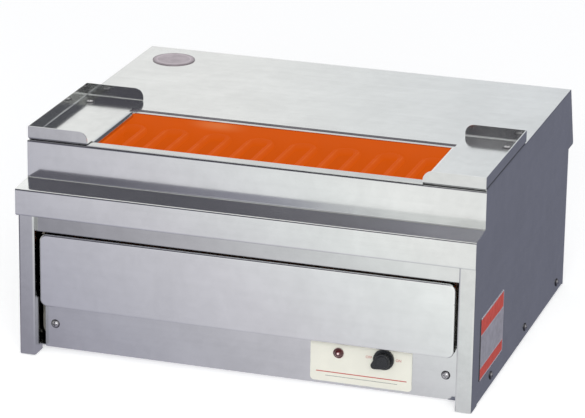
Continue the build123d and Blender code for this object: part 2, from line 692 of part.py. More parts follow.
def switch_body():
    """Rotary switch behind the apron, with its threaded bushing."""
    back = APRON_BACK
    body = slab((KNOB_X - SWITCH_W / 2, KNOB_X + SWITCH_W / 2), (back, back + SWITCH_D),
                (KNOB_Z - SWITCH_H / 2, KNOB_Z + SWITCH_H / 2))
    place = facing_front(KNOB_X, KNOB_Z, back)
    body += rod(place, BUSHING_R, 0, back - BUSHING_END_Y)
    return body - rod(place, SHAFT_R + RUN, -SHAFT_IN_SWITCH - RUN, back)


def knob():
    """Knob with a skirt, a raised cap, a nose with a line on it and a pocket over the switch nut."""
    place = facing_front(KNOB_X, KNOB_Z, KNOB_BACK_Y)
    height = KNOB_BACK_Y - KNOB_FACE_Y
    shoulder = height - CAP_H
    pocket_end = KNOB_POCKET + SHAFT_IN_KNOB + RUN
    nose = Rot(0, 0, NOSE_ANGLE) * Pos(NOSE_REACH, 0)
    grip = make_face(make_hull([*Circle(KNOB_R).edges(), *(nose * Circle(NOSE_R)).edges()]).edges())
    body = extrude(place.offset(SKIRT_H) * grip, shoulder - SKIRT_H)
    body = fillet(body.edges().group_by(Axis.Y)[0], KNOB_EDGE)
    cap = rod(place, CAP_R, SKIRT_H, height)
    body += fillet(cap.edges().group_by(Axis.Y)[0], KNOB_EDGE)
    body += rod(place, SKIRT_R, 0, SKIRT_H)
    body -= rod(place, KNOB_POCKET_R, -SHEET, KNOB_POCKET)
    body -= rod(place, SHAFT_R + RUN, 0, pocket_end)
    line_length = NOSE_REACH + NOSE_R - KNOB_EDGE - POINTER_FROM
    line = Rot(0, 0, NOSE_ANGLE) * Pos(POINTER_FROM + line_length / 2, 0) * Rectangle(line_length, POINTER_W)
    return body - extrude(place.offset(shoulder) * line, -POINTER_DEPTH)


def knob_shaft():
    """Shaft that turns with the knob in the switch bushing."""
    place = facing_front(KNOB_X, KNOB_Z, KNOB_BACK_Y)
    tail = APRON_BACK + SHAFT_IN_SWITCH - KNOB_BACK_Y
    return rod(place, SHAFT_R, -tail, KNOB_POCKET + SHAFT_IN_KNOB)


def drawer_rail():
    """Cross rail over the drawer."""
    section = [(RAIL_Y, BAND_BOTTOM - FIT), (RAIL_Y, RAIL_BOTTOM), (RAIL_Y + RAIL_FLANGE, RAIL_BOTTOM)]
    return along_x(section, -RAIL_X, RAIL_X)


def rounded_block(x, z, y, radius, edge):
    """Block whose outline on the front is rounded, and whose front edge is rolled."""
    plane = facing_front(0, 0, y[0])
    block = rounded_plate(plane, x, z, radius, y[0] - y[1])
    return fillet(block.edges().group_by(Axis.Y)[0], edge)


def drawer_front():
    """Drawer front with its edges turned back, open along the lower edge for the fingers."""
    x, y, z = (-DRAWER_X, DRAWER_X), (DRAWER_Y, DRAWER_Y + DRAWER_EDGE), DRAWER_Z
    front = rounded_block(x, z, y, DRAWER_ROUND, BEND + SHEET)
    inside_x, inside_z = (x[0] + SHEET, x[1] - SHEET), (z[0] + SHEET, z[1] - SHEET)
    front -= rounded_block(inside_x, inside_z, (y[0] + SHEET, y[1] + SHEET), DRAWER_ROUND - SHEET, BEND)
    return front - slab((-DRAWER_GRIP_X, DRAWER_GRIP_X), (y[0] + SHEET + BEND, y[1] + SHEET),
                        (z[0] - SHEET, z[0] + SHEET + BEND))


def drip_pan():
    """Deep pan behind the drawer front, with a rim that rests on the guides."""
    y0 = DRAWER_Y + SHEET
    outer_x = PAN_X + SHEET
    pan = slab((-outer_x, outer_x), (y0, PAN_Y1 + SHEET), (PAN_BOTTOM, PAN_RIM_Z))
    pan = fillet(pan.edges().filter_by(Axis.Z).group_by(Axis.Y)[-1], PAN_ROUND + SHEET)
    rim_x = outer_x + PAN_RIM_W
    pan += slab((-rim_x, rim_x), (y0, PAN_Y1 + SHEET + PAN_RIM_W), (PAN_RIM_Z - SHEET, PAN_RIM_Z))
    inside = slab((-PAN_X, PAN_X), (y0 + SHEET, PAN_Y1), (PAN_BOTTOM + SHEET, PAN_RIM_Z + SHEET))
    inside = fillet(inside.edges().filter_by(Axis.Z).group_by(Axis.Y)[-1], PAN_ROUND)
    return pan - inside


def drawer_guide():
    """Right guide: a foot on the base, a wall and a flange that the pan's rim slides on."""
    section = [(GUIDE_X - GUIDE_FLANGE, GUIDE_TOP - SHEET), (GUIDE_X, GUIDE_TOP - SHEET),
               (GUIDE_X, BASE_TOP), (GUIDE_X + GUIDE_FOOT, BASE_TOP)]
    guide = along_y(section, GUIDE_Y0, GUIDE_Y1)
    return guide - rod(looking(GUIDE_X, LEAD_Y, LEAD_Z, (1, 0, 0)), LEAD_HOLE_R, -2 * SHEET, 2 * SHEET)


def terminal_block():
    """Stepped block with a row of terminals."""
    x, y = (BLOCK_X - BLOCK_W / 2, BLOCK_X + BLOCK_W / 2), (BLOCK_Y - BLOCK_D / 2, BLOCK_Y + BLOCK_D / 2)
    block = slab(x, y, (BASE_TOP, BASE_TOP + BLOCK_H - BLOCK_STEP))
    block += slab(x, (y[0] + BLOCK_STEP, y[1] - BLOCK_STEP), (BASE_TOP, BASE_TOP + BLOCK_H))
    return block


def block_screws():
    """Terminal screws on both steps of the block."""
    z = BASE_TOP + BLOCK_H - BLOCK_STEP
    reach = (BLOCK_D - BLOCK_STEP) / 2
    places = [(BLOCK_X + way * BLOCK_PITCH, BLOCK_Y + end * reach)
              for way in centred(BLOCK_WAYS) for end in (-1, 1)]
    return [rod(looking(x, y, z, (0, 0, 1)), BLOCK_SCREW_R, 0, BLOCK_SCREW_H) for x, y in places]


def cord_bush():
    """Rubber bush in the rear panel where the supply cord comes in."""
    place = facing_back(INLET_X, INLET_Z)
    bush = rod(place, INLET_R, -SHEET - INLET_INSIDE, 0) + rod(place, INLET_RIM_R, 0, INLET_RIM)
    return bush - rod(place, INLET_BORE, -2 * INLET_INSIDE, 2 * INLET_INSIDE)


def lead(*points):
    """Insulated lead along straight runs with rounded corners."""
    path = FilletPolyline(*points, radius=LEAD_BEND)
    return sweep(Plane(origin=path @ 0, z_dir=path % 0) * Circle(LEAD_R), path=path)


def leads():
    """Leads from the terminal block and the switch to the heater studs and the lamp."""
    stud_x = HEATER_END_X + STUD_L
    block_y = BLOCK_Y - BLOCK_D / 2
    switch_y = APRON_BACK + SWITCH_D
    lamp_y = APRON_BACK + LAMP_BODY_L
    climb = [(LEAD_X, LEAD_Y, LEAD_Z), (LEAD_X, LEAD_Y, HEATER_Z),
             (LEAD_X, END_Y, HEATER_Z), (stud_x, END_Y, HEATER_Z)]
    left_climb = [(-x, y, z) for x, y, z in climb]
    live_x, return_x = BLOCK_X + BLOCK_PITCH, BLOCK_X - BLOCK_PITCH
    out_x, in_x = KNOB_X + LEAD_SPREAD, KNOB_X - LEAD_SPREAD
    low_z = KNOB_Z - LEAD_SPREAD
    behind = switch_y + LEAD_BACK
    crossing = switch_y + 2 * LEAD_BACK
    return [
        lead((out_x, LEAD_Y, KNOB_Z - SWITCH_H / 2), (out_x, LEAD_Y, LEAD_Z), *climb),
        lead((return_x, block_y, LEAD_Z), (return_x, LEAD_Y, LEAD_Z), *left_climb),
        lead((live_x, block_y, LEAD_Z), (live_x, crossing, LEAD_Z), (in_x, crossing, LEAD_Z),
             (in_x, crossing, low_z), (in_x, switch_y, low_z)),
        lead((LAMP_X, lamp_y, LAMP_Z), (LAMP_X, behind, LAMP_Z), (KNOB_X, behind, LAMP_Z),
             (KNOB_X, switch_y, LAMP_Z))]


def side_label():
    """Bare label on the right side panel."""
    place = Plane(origin=(SIDE_X, 0, 0), x_dir=(0, 1, 0), z_dir=(1, 0, 0))
    return rounded_plate(place, LABEL_Y, LABEL_Z, LABEL_ROUND, LABEL_T)


def badge():
    """Round badge on the top plate, with its edge eased."""
    disc = rod(looking(BADGE_X, BADGE_Y, TOP_Z, (0, 0, 1)), BADGE_R, 0, BADGE_T)
    return fillet(disc.edges().sort_by(Axis.Z)[-1], BADGE_T / 2)


right_panel, left_panel = both_sides(side_panel())
right_tray, left_tray = both_sides(tray())
right_guide, left_guide = both_sides(drawer_guide())
tray_places = [(x, y) for x in (-TRAY_SCREW_X, TRAY_SCREW_X) for y in TRAY_SCREW_Y]
side_places = [looking(side * SIDE_X, y, SIDE_SCREW_Z, (side, 0, 0))
               for side in (-1, 1) for y in SIDE_SCREW_Y]
apron_places = [facing_front(x, APRON_SCREW_Z, APRON_Y) for x in (-APRON_SCREW_X, APRON_SCREW_X)]
rear_places = [facing_back(x, z) for x in (-REAR_SCREW_X, REAR_SCREW_X) for z in REAR_SCREW_Z]

save("side_panel_right", right_panel)
save("side_panel_left", left_panel)
save("front_panel", front_panel())
save("top_plate", top_plate())
save("rear_panel", rear_panel())
save("base_plate", base_plate())
save("drawer_rail", drawer_rail())
save("control_apron", control_apron())
save("control_plate", control_plate())
save("burner_frame", burner_frame())
save("well_liner", well_liner())
save("insulation_boards", *insulation_boards())
save("heater_tube", heater_tube())
save("heater_bushes", *[heater_bush(side) for side in (-1, 1)])
save("heater_studs", *[heater_stud(side) for side in (-1, 1)])
save("heater_bars", *heater_bars())
save("tray_right", right_tray)
save("tray_left", left_tray)
save("tray_screws", *[screw(looking(x, y, TRAY_FLOOR, (0, 0, 1))) for x, y in tray_places])
save("tray_nuts", *[hex_nut(looking(x, y, TOP_Z - SHEET, (0, 0, -1)), NUT_FLATS, NUT_H, M4_R + NUT_PLAY)
                    for x, y in tray_places])
save("side_screws", *[screw(place) for place in side_places])
save("apron_screws", *[screw(place) for place in apron_places])
save("rear_screws", *[screw(place) for place in rear_places])
save("feet", *[foot(x, y) for x, y in foot_places()])
save("foot_screws", *[foot_screw(x, y) for x, y in foot_places()])
save("drawer_front", drawer_front())
save("drip_pan", drip_pan())
save("drawer_guide_right", right_guide)
save("drawer_guide_left", left_guide)
save("lamp_lens", lamp_lens())
save("lamp_body", lamp_body())
save("switch_body", switch_body())
save("switch_nut", hex_nut(facing_front(KNOB_X, KNOB_Z, PLATE_FACE), SWITCH_NUT_FLATS, SWITCH_NUT_H,
                           BUSHING_R + NUT_PLAY))
save("knob", knob())
save("knob_shaft", knob_shaft())
save("terminal_block", terminal_block())
save("block_screws", *block_screws())
save("cord_bush", cord_bush())
save("leads", *leads())
save("side_label", side_label())
save("badge", badge())
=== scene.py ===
"""Electric skewer grill: finishes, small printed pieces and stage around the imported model, in metres."""
import math

import bmesh
import bpy
from bpy.props import FloatProperty, FloatVectorProperty, PointerProperty
from mathutils import Matrix, Vector


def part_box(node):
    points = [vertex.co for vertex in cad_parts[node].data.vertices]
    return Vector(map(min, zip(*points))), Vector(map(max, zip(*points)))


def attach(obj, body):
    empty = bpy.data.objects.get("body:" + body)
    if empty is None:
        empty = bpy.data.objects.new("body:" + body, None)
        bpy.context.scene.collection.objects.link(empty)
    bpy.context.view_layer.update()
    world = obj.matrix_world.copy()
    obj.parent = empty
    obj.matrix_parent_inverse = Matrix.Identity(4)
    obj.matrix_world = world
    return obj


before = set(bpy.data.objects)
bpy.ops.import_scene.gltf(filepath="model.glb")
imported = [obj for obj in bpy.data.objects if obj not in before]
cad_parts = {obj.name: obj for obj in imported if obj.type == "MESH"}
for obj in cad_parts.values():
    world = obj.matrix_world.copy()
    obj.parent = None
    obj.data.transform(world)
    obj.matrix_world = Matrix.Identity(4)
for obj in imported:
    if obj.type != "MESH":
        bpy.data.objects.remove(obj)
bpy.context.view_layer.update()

bl_info = {
    "name": "Electric skewer grill",
    "version": (1, 0, 0),
    "blender": (4, 5, 0),
    "location": "3D View > Sidebar > Grill",
    "description": "Finishes, printed marks and stage for a stainless skewer grill",
    "category": "Object",
}

X_AXIS, Y_AXIS, Z_AXIS = (1.0, 0.0, 0.0), (0.0, 1.0, 0.0), (0.0, 0.0, 1.0)
ORIGIN = (0.0, 0.0, 0.0)
WHITE, BLACK = (1.0, 1.0, 1.0), (0.0, 0.0, 0.0)

# Stainless sheets by the axis of their rolling lines, after the seed of the first and the step to the next
SHEETS = {
    "X": (1.0, 7.3, ("front_panel", "top_plate", "rear_panel", "base_plate", "drawer_rail", "control_apron",
                     "burner_frame", "drawer_front")),
    "Y": (2.0, 5.1, ("side_panel_right", "side_panel_left", "tray_right", "tray_left",
                     "drawer_guide_right", "drawer_guide_left"))}
# Rolling lines to the metre along a sheet and across it
LINES_ALONG, LINES_ACROSS = 16.0, 1300.0
# Depth of the dimples in mouldings and paint
PEEL_DEPTH = 0.00001
# Painted light and shade of a sheet at the left and the right end of the grill, where the plain steel is one
PLAIN_SHADE = (1.0, 1.0)
PAINTED_SHADES = {"front_panel": (1.20, 1.09), "drawer_front": (1.22, 1.17), "drawer_rail": (0.74, 1.08),
          "control_apron": (1.14, 1.06), "burner_frame": (0.84, 0.84)}

FASTENERS = ("tray_screws", "tray_nuts", "side_screws", "apron_screws", "rear_screws", "foot_screws",
             "switch_nut", "knob_shaft", "heater_studs", "block_screws")
# Axes of the screws whose heads have a painted shade round the rim
HEAD_AXES = {"tray_screws": Z_AXIS, "side_screws": X_AXIS, "apron_screws": Y_AXIS, "rear_screws": Y_AXIS}

# Rules on the control plate: margins at the left and the right, height over the plate's foot, width
RULES = {"plate_rule": (0.0062, 0.0052, 0.0108, 0.0010), "plate_fine_rule": (0.0165, 0.0155, 0.0066, 0.0004)}
# Words beside the knob, and how far to the right of its middle each one is centred
WORDS = {"word_off": ("OFF", -0.0165), "word_on": ("ON", 0.0155)}
# Size of the words, and how far below the knob's middle they are centred
WORD_SIZE, WORD_DROP = 0.0040, 0.0002

# Heights of the papers on the floor: the side one overlaps the front one, so it lies higher
PAPER_HEIGHT, UPPER_PAPER_HEIGHT = 0.0004, 0.0006


def color_prop(name, description, default):
    """Colour setting with its default."""
    return FloatVectorProperty(name=name, description=description, subtype="COLOR", size=3,
                               min=0.0, max=1.0, default=default)


def factor_prop(name, description, default):
    """Setting between nought and one."""
    return FloatProperty(name=name, description=description, subtype="FACTOR", min=0.0, max=1.0,
                         default=default)


def length_prop(name, description, default):
    """Length in metres."""
    return FloatProperty(name=name, description=description, unit="LENGTH", min=0.0, precision=5,
                         default=default)


class GrillSteel(bpy.types.PropertyGroup):
    """Finish of the stainless sheets and the plated screws."""
    color: color_prop("Steel", "Colour of the stainless sheet", (0.735, 0.748, 0.733))
    roughness: factor_prop("Roughness", "Roughness of the rolled finish", 0.12)
    grain: length_prop("Grain depth", "Depth of the rolling lines", 0.0000015)
    waves: length_prop("Waves", "Depth of the slow waves in the sheets", 0.00010)
    clouds: factor_prop("Clouds", "Depth of the soft blotches in the sheets", 0.07)
    # The edge strip is wear and also a painted highlight: paler as well as smoother
    edge: length_prop("Edge wear", "Width of the polished strip along edges", 0.0007)
    # Dirt and painted shade: the colour that the cavity mask lays in folds and joints
    grime_and_shade: color_prop("Grime and shade", "Colour of the grime in folds and joints", (0.075, 0.068, 0.080))
    stain: color_prop("Stains", "Colour of the stains in the drip pan", (0.30, 0.22, 0.14))
    plating: color_prop("Plating", "Colour of the plated screws and nuts", (0.72, 0.71, 0.72))
    plating_roughness: factor_prop("Plating roughness", "Lowest roughness of the plating", 0.30)
    plating_worn: color_prop("Worn plating", "Colour along the edges of the plating", (0.85, 0.85, 0.84))
    # Dirt and painted shade in the recesses of screws and nuts
    plating_grime_and_shade: color_prop("Screw grime", "Colour of the grime in recesses", (0.03, 0.027, 0.032))
    # Painted shade round the steep rim of a screw head
    plating_rim_shade: color_prop("Screw rim shade", "Colour of the dirty rim of a head", (0.03, 0.028, 0.034))


class GrillHeat(bpy.types.PropertyGroup):
    """Glow of the heater, the painted glow of its well, and what is round them."""
    # Painted light: the liner and the bars glow though they are no lamp, with a painted highlight on the
    # rear wall
    well_painted_glow: color_prop("Painted well glow", "Light given off by the walls of the well", (0.62, 0.087, 0.0035))
    well_painted_highlight: color_prop("Painted well highlight", "Pale spot of the glow on the rear wall", (0.78, 0.33, 0.13))
    # Painted highlight along the crest of the tube
    tube_painted_highlight: color_prop("Painted tube highlight", "Light given off along the crest of the tube", (0.70, 0.130, 0.016))
    scorched: color_prop("Scorched steel", "Dull colour under the glow", (0.035, 0.014, 0.008))
    # Heat tint and painted shade: the liner outside the glow, its flange too, is dark
    tinted_and_shaded_steel: color_prop("Tinted steel", "Colour of the liner outside the glow", (0.13, 0.115, 0.135))
    board: color_prop("Board", "Colour between the fibres of the boards", (0.72, 0.69, 0.62))
    fibre: color_prop("Fibres", "Colour of the fibres of the boards", (0.86, 0.84, 0.79))
    ceramic: color_prop("Ceramic", "Colour of the heater's bushes", (0.78, 0.76, 0.70))


class GrillPlastics(bpy.types.PropertyGroup):
    """Colours of the moulded, rubber and woven pieces."""
    knob: color_prop("Knob", "Colour of the knob", (0.012, 0.013, 0.016))
    lens: color_prop("Lamp", "Colour of the lamp lens", (0.085, 0.004, 0.006))
    # Painted glint: a small glowing spot on the lens
    lens_painted_glint: color_prop("Painted lamp glint", "Light of the tip of the lamp's bulb", (0.95, 0.80, 0.80))
    rubber: color_prop("Rubber", "Colour of feet and cord bush", (0.02, 0.02, 0.021))
    moulding: color_prop("Mouldings", "Colour of switch and lamp bodies", (0.03, 0.03, 0.03))
    pale: color_prop("Terminal block", "Colour of the terminal block", (0.62, 0.60, 0.52))
    dust: color_prop("Dust", "Colour of the dust on top", (0.35, 0.34, 0.32))
    sleeve: color_prop("Sleeve", "Colour between the threads of the leads", (0.60, 0.58, 0.50))
    thread: color_prop("Thread", "Colour of the threads of the leads", (0.78, 0.76, 0.68))


class GrillPrint(bpy.types.PropertyGroup):
    """Printed plate, label and badge."""
    plate: color_prop("Plate", "Cream paint of the control plate", (0.76, 0.75, 0.665))
    plate_edge: color_prop("Plate edge", "Paint along the edge of the plate", (0.55, 0.56, 0.52))
    red_ink: color_prop("Red ink", "Ink of the wide rule and the words", (0.42, 0.045, 0.035))
    # Dark ink of the fine rule, and also the painted shadow along the label's front edge
    dark_ink_and_shadow: color_prop("Dark ink", "Ink of the fine rule and the label's front", (0.03, 0.03, 0.035))
    ink: length_prop("Ink", "Thickness of the printed marks", 0.00006)
    label_band: color_prop("Label bands", "Bands at the top and the foot of the label", (0.80, 0.075, 0.035))
    label_field: color_prop("Label field", "Field between the bands", (0.42, 0.41, 0.47))
    label_edge: color_prop("Label edge", "Thin border of the label", (0.52, 0.50, 0.56))
    head_band: length_prop("Head band", "Height of the band at the label's top", 0.0185)
    foot_band: length_prop("Foot band", "Height of the band at the label's foot", 0.0135)
    band_line: length_prop("Band lines", "Width of the pale line along each band", 0.0013)
    border: length_prop("Border", "Width of the label's border", 0.0015)
    # Painted shadow along the label's front edge
    front_painted_shadow: length_prop("Front edge", "Width of the dark strip along the label's front", 0.0022)
    badge: color_prop("Badge", "Colour of the round badge", (0.50, 0.42, 0.46))


class GrillStage(bpy.types.PropertyGroup):
    """Camera, light and the cards that the metal mirrors."""
    camera_at: FloatVectorProperty(name="Camera", description="Place of the camera", subtype="TRANSLATION",
                                   unit="LENGTH", size=3, default=(0.97697, -3.13940, 1.25115))
    lens: FloatProperty(name="Lens", description="Focal length on a 36 mm sensor", unit="CAMERA",
                        default=195.26)
    fill: factor_prop("Fill", "Light of the world on plain surfaces", 0.62)
    fill_color: color_prop("Fill colour", "Colour of that light", (0.97, 0.98, 1.0))
    key: FloatProperty(name="Key lamp", description="Power of the soft lamp over the front",
                       unit="POWER", default=34.0)
    floor: color_prop("Floor", "Colour of the floor", (0.8, 0.8, 0.8))
    floor_glow: factor_prop("Floor glow", "What the floor adds to its own light for the camera", 0.46)


class Nodes:
    """Adds nodes to a tree, each with its sockets filled from values or other sockets."""

    def __init__(self, tree):
        self.tree = tree
        self.count = 0

    def add(self, kind, sockets=None, **fields):
        """New node, laid out to the right of the last one."""
        step, rows = 180, 4
        made = self.tree.nodes.new(kind)
        made.location = (self.count * step, -(self.count % rows) * step)
        self.count += 1
        for field, value in fields.items():
            setattr(made, field, value)
        for key, value in (sockets or {}).items():
            self.fill(made.inputs[key], value)
        return made

    def fill(self, socket, value):
        """Links a socket to another one, or sets it to a number, a vector or a colour."""
        if isinstance(value, bpy.types.NodeSocket):
            self.tree.links.new(value, socket)
        elif socket.type == "RGBA" and len(value) == 3:
            socket.default_value = (*value, 1.0)
        else:
            socket.default_value = value

    def group(self, tree, **sockets):
        """Outputs of a node group that is placed with these inputs."""
        return self.add("ShaderNodeGroup", sockets, node_tree=tree).outputs

    def math(self, operation, first, second=0.0, clamp=False):
        """Sum, product or other result of two numbers."""
        return self.add("ShaderNodeMath", {0: first, 1: second}, operation=operation,
                        use_clamp=clamp).outputs[0]

    def vector(self, operation, first, second=ORIGIN):
        """Result of two vectors: a dot product, a distance and a length are numbers."""
        made = self.add("ShaderNodeVectorMath", {0: first, 1: second}, operation=operation)
        return made.outputs["Value" if operation in ("DOT_PRODUCT", "DISTANCE", "LENGTH") else "Vector"]

    def scale(self, vector, share):
        """Vector or colour times a number."""
        return self.add("ShaderNodeVectorMath", {0: vector, "Scale": share}, operation="SCALE").outputs[0]

    def split(self, vector):
        """The three parts of a vector."""
        return self.add("ShaderNodeSeparateXYZ", {0: vector}).outputs

    def mix(self, factor, first, second):
        """Colour between two colours."""
        made = self.add("ShaderNodeMix", data_type="RGBA")
        for socket, value in zip([made.inputs[0], made.inputs[6], made.inputs[7]], [factor, first, second]):
            self.fill(socket, value)
        return made.outputs[2]

    def mottle(self, mask, color, share):
        """Colour that a mask darkens to a share of itself."""
        return self.mix(mask, color, scaled(color, share))

    def span(self, value, low, high, out_low=0.0, out_high=1.0, smooth=False):
        """Number that goes from out_low to out_high as a value goes from low to high."""
        kind = "SMOOTHSTEP" if smooth else "LINEAR"
        return self.add("ShaderNodeMapRange", {"Value": value, "From Min": low, "From Max": high,
                                               "To Min": out_low, "To Max": out_high},
                        interpolation_type=kind).outputs[0]

    def noise(self, place, scale, detail, roughness=0.5, distortion=0.0):
        """Noise between nought and one, with so many grains to the metre."""
        return self.add("ShaderNodeTexNoise", {"Vector": place, "Scale": scale, "Detail": detail,
                                               "Roughness": roughness, "Distortion": distortion}).outputs[0]

    def normal(self):
        """The surface's own normal."""
        return self.add("ShaderNodeNewGeometry").outputs["Normal"]

    def bump(self, height, depth):
        """Normal of a relief of some depth."""
        return self.add("ShaderNodeBump", {"Height": height, "Distance": depth}).outputs[0]


def scaled(color, share):
    """Colour times a number."""
    return [channel * share for channel in color]


def new_group(name, inputs, outputs):
    """Shader node group of that name. Where it is new, its nodes and what it is given come with it."""
    if name in bpy.data.node_groups:
        return bpy.data.node_groups[name], None, None
    tree = bpy.data.node_groups.new(name, "ShaderNodeTree")
    for label, default in inputs.items():
        kind = "NodeSocketVector" if isinstance(default, tuple) else "NodeSocketFloat"
        tree.interface.new_socket(label, in_out="INPUT", socket_type=kind).default_value = default
    for label in outputs:
        tree.interface.new_socket(label, in_out="OUTPUT", socket_type="NodeSocketFloat")
    n = Nodes(tree)
    return tree, n, n.add("NodeGroupInput").outputs


def rolled_grain():
    """Fine lines of a rolled sheet: long along one axis, close together across it."""
    stretch = (LINES_ALONG, LINES_ACROSS, LINES_ACROSS)
    tree, n, given = new_group("Rolled grain", {"Place": ORIGIN, "Stretch": stretch, "Seed": 0.0},
                               ("Lines", "Streaks"))
    if n:
        place = n.vector("MULTIPLY", given["Place"], given["Stretch"])
        moved = n.vector("ADD", place, given["Seed"])
        n.add("NodeGroupOutput", {"Lines": n.noise(moved, 1.0, 2.0, 0.6),
                                  "Streaks": n.noise(moved, 0.11, 3.0, 0.6)})
    return tree


def cloudy_sheen():
    """Soft blotches, and a slow height that bends what the sheet mirrors."""
    tree, n, given = new_group("Cloudy sheen", {"Place": ORIGIN, "Size": 0.06, "Seed": 0.0},
                               ("Clouds", "Waves"))
    if n:
        scale = n.math("DIVIDE", 1.0, given["Size"])
        moved = n.vector("ADD", given["Place"], given["Seed"])
        blotch = n.noise(moved, scale, 3.0, 0.55, 0.4)
        slow = n.noise(moved, n.math("MULTIPLY", scale, 0.5), 1.0, 0.4)
        n.add("NodeGroupOutput", {"Clouds": n.span(blotch, 0.3, 0.7, smooth=True), "Waves": slow})
    return tree


def specks():
    """Small pits or drops, few and uneven in size."""
    tree, n, given = new_group("Specks", {"Place": ORIGIN, "Spacing": 0.03, "Reach": 0.02}, ("Mask",))
    if n:
        empty_share = 0.55
        cells = n.add("ShaderNodeTexVoronoi", {"Vector": given["Place"], "Randomness": 1.0,
                                               "Scale": n.math("DIVIDE", 1.0, given["Spacing"])})
        chance = n.add("ShaderNodeSeparateColor", {"Color": cells.outputs["Color"]}).outputs
        mask = n.math("LESS_THAN", cells.outputs["Distance"], n.math("MULTIPLY", chance[0], given["Reach"]))
        few = n.math("GREATER_THAN", chance[1], empty_share)
        n.add("NodeGroupOutput", {"Mask": n.math("MULTIPLY", mask, few)})
    return tree


def edge_wear():
    """Mask along sharp edges, broken up by noise."""
    tree, n, given = new_group("Edge wear", {"Place": ORIGIN, "Width": 0.0006, "Broken": 0.5}, ("Mask",))
    if n:
        soft = n.add("ShaderNodeBevel", {"Radius": given["Width"]}, samples=6).outputs[0]
        flat, sharp = 0.99, 0.86
        bent = n.span(n.vector("DOT_PRODUCT", soft, n.normal()), flat, sharp)
        patchy = n.span(n.noise(given["Place"], 260.0, 3.0), 0.35, 0.6)
        gaps = n.math("MULTIPLY", patchy, given["Broken"])
        n.add("NodeGroupOutput", {"Mask": n.math("SUBTRACT", bent, gaps, clamp=True)})
    return tree


def cavity_dirt_and_shade():
    """Dirt and painted shade in folds and joints, where the surface is close to another one, but not close
    to the floor.
    """
    tree, n, given = new_group("Cavity dirt and shade", {"Place": ORIGIN, "Reach": 0.006}, ("Mask",))
    if n:
        open_from, shut_up_to, clean_up_to, dirty_from = 0.46, 0.16, 0.008, 0.012
        hidden = n.add("ShaderNodeAmbientOcclusion", {"Distance": given["Reach"]}, samples=8).outputs["AO"]
        closed = n.span(hidden, open_from, shut_up_to)
        patchy = n.span(n.noise(given["Place"], 120.0, 3.0), 0.3, 0.7, 0.65, 1.0)
        off_floor = n.math("MULTIPLY", patchy, n.span(n.split(given["Place"])[2], clean_up_to, dirty_from))
        n.add("NodeGroupOutput", {"Mask": n.math("MULTIPLY", closed, off_floor, clamp=True)})
    return tree


def settled_dust():
    """Thin dust on surfaces that face up."""
    tree, n, given = new_group("Settled dust", {"Place": ORIGIN, "Amount": 0.3}, ("Mask",))
    if n:
        up = n.span(n.split(n.normal())[2], 0.5, 1.0)
        patchy = n.span(n.noise(given["Place"], 90.0, 5.0), 0.35, 0.75, 0.3, 1.0)
        amount = n.math("MULTIPLY", patchy, given["Amount"])
        n.add("NodeGroupOutput", {"Mask": n.math("MULTIPLY", up, amount)})
    return tree


def orange_peel():
    """Height of the fine dimples of moulded plastic and of paint."""
    tree, n, given = new_group("Orange peel", {"Place": ORIGIN, "Dimples": 1000.0}, ("Height",))
    if n:
        n.add("NodeGroupOutput", {"Height": n.noise(given["Place"], given["Dimples"], 2.0)})
    return tree


def head_rim_shade():
    """Painted shade on the steep rim of a screw head that faces along an axis."""
    tree, n, given = new_group("Head rim shade", {"Axis": Z_AXIS}, ("Mask",))
    if n:
        flat, steep, darkest = 0.93, 0.72, 0.95
        along = n.math("ABSOLUTE", n.vector("DOT_PRODUCT", n.normal(), given["Axis"]))
        n.add("NodeGroupOutput", {"Mask": n.span(along, flat, steep, 0.0, darkest)})
    return tree


def inside_well():
    """One between the inner faces of the liner's walls."""
    tree, n, given = new_group("Inside the well", {"Place": ORIGIN}, ("Mask",))
    if n:
        low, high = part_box("well_liner")
        wall, flange, slack = 0.001, 0.006, 0.0003
        at = n.split(given["Place"])
        across = n.math("LESS_THAN", n.math("ABSOLUTE", at[0]), high.x - wall + slack)
        behind_front = n.math("GREATER_THAN", at[1], low.y + wall - slack)
        before_back = n.math("LESS_THAN", at[1], high.y - flange + slack)
        n.add("NodeGroupOutput", {"Mask": n.math("MULTIPLY", across,
                                                 n.math("MULTIPLY", behind_front, before_back))})
    return tree


def slanting_fade():
    """Number that grows from a start across and up a card, held between nought and one."""
    tree, n, given = new_group("Slanting fade", {"Place": ORIGIN, "Start": 0.0, "Across": 1.0, "Up": 0.0},
                               ("Fade",))
    if n:
        at = n.split(given["Place"])
        grown = n.math("ADD", n.math("MULTIPLY", at[0], given["Across"]),
                       n.math("MULTIPLY", at[1], given["Up"]))
        n.add("NodeGroupOutput", {"Fade": n.math("ADD", grown, given["Start"], clamp=True)})
    return tree


def empty_material(name):
    """Material with an empty node tree."""
    made = bpy.data.materials.new(name)
    made.use_nodes = True
    made.node_tree.nodes.clear()
    return made


class Finish(Nodes):
    """Nodes of a new material with a Principled shader, and the object's own place."""

    def __init__(self, name):
        self.made = empty_material(name)
        super().__init__(self.made.node_tree)
        self.place = self.add("ShaderNodeTexCoord").outputs["Object"]
        self.shader = self.add("ShaderNodeBsdfPrincipled")
        self.add("ShaderNodeOutputMaterial", {"Surface": self.shader.outputs[0]})

    def effect(self, tree, **sockets):
        """Outputs of a node group at the object's own place."""
        return self.group(tree, Place=self.place, **sockets)

    def clouds(self, size, seed):
        """Soft blotches of about a size."""
        return self.effect(cloudy_sheen(), Size=size, Seed=seed)["Clouds"]

    def shade(self, **values):
        """The material, its shader's sockets filled; an underscore in a name stands for a space."""
        for key, value in values.items():
            self.fill(self.shader.inputs[key.replace("_", " ")], value)
        return self.made


def line_stretch(along):
    """Rolling lines to the metre along each axis, for a sheet rolled along one of them."""
    return [LINES_ALONG if axis == along else LINES_ACROSS for axis in "XYZ"]


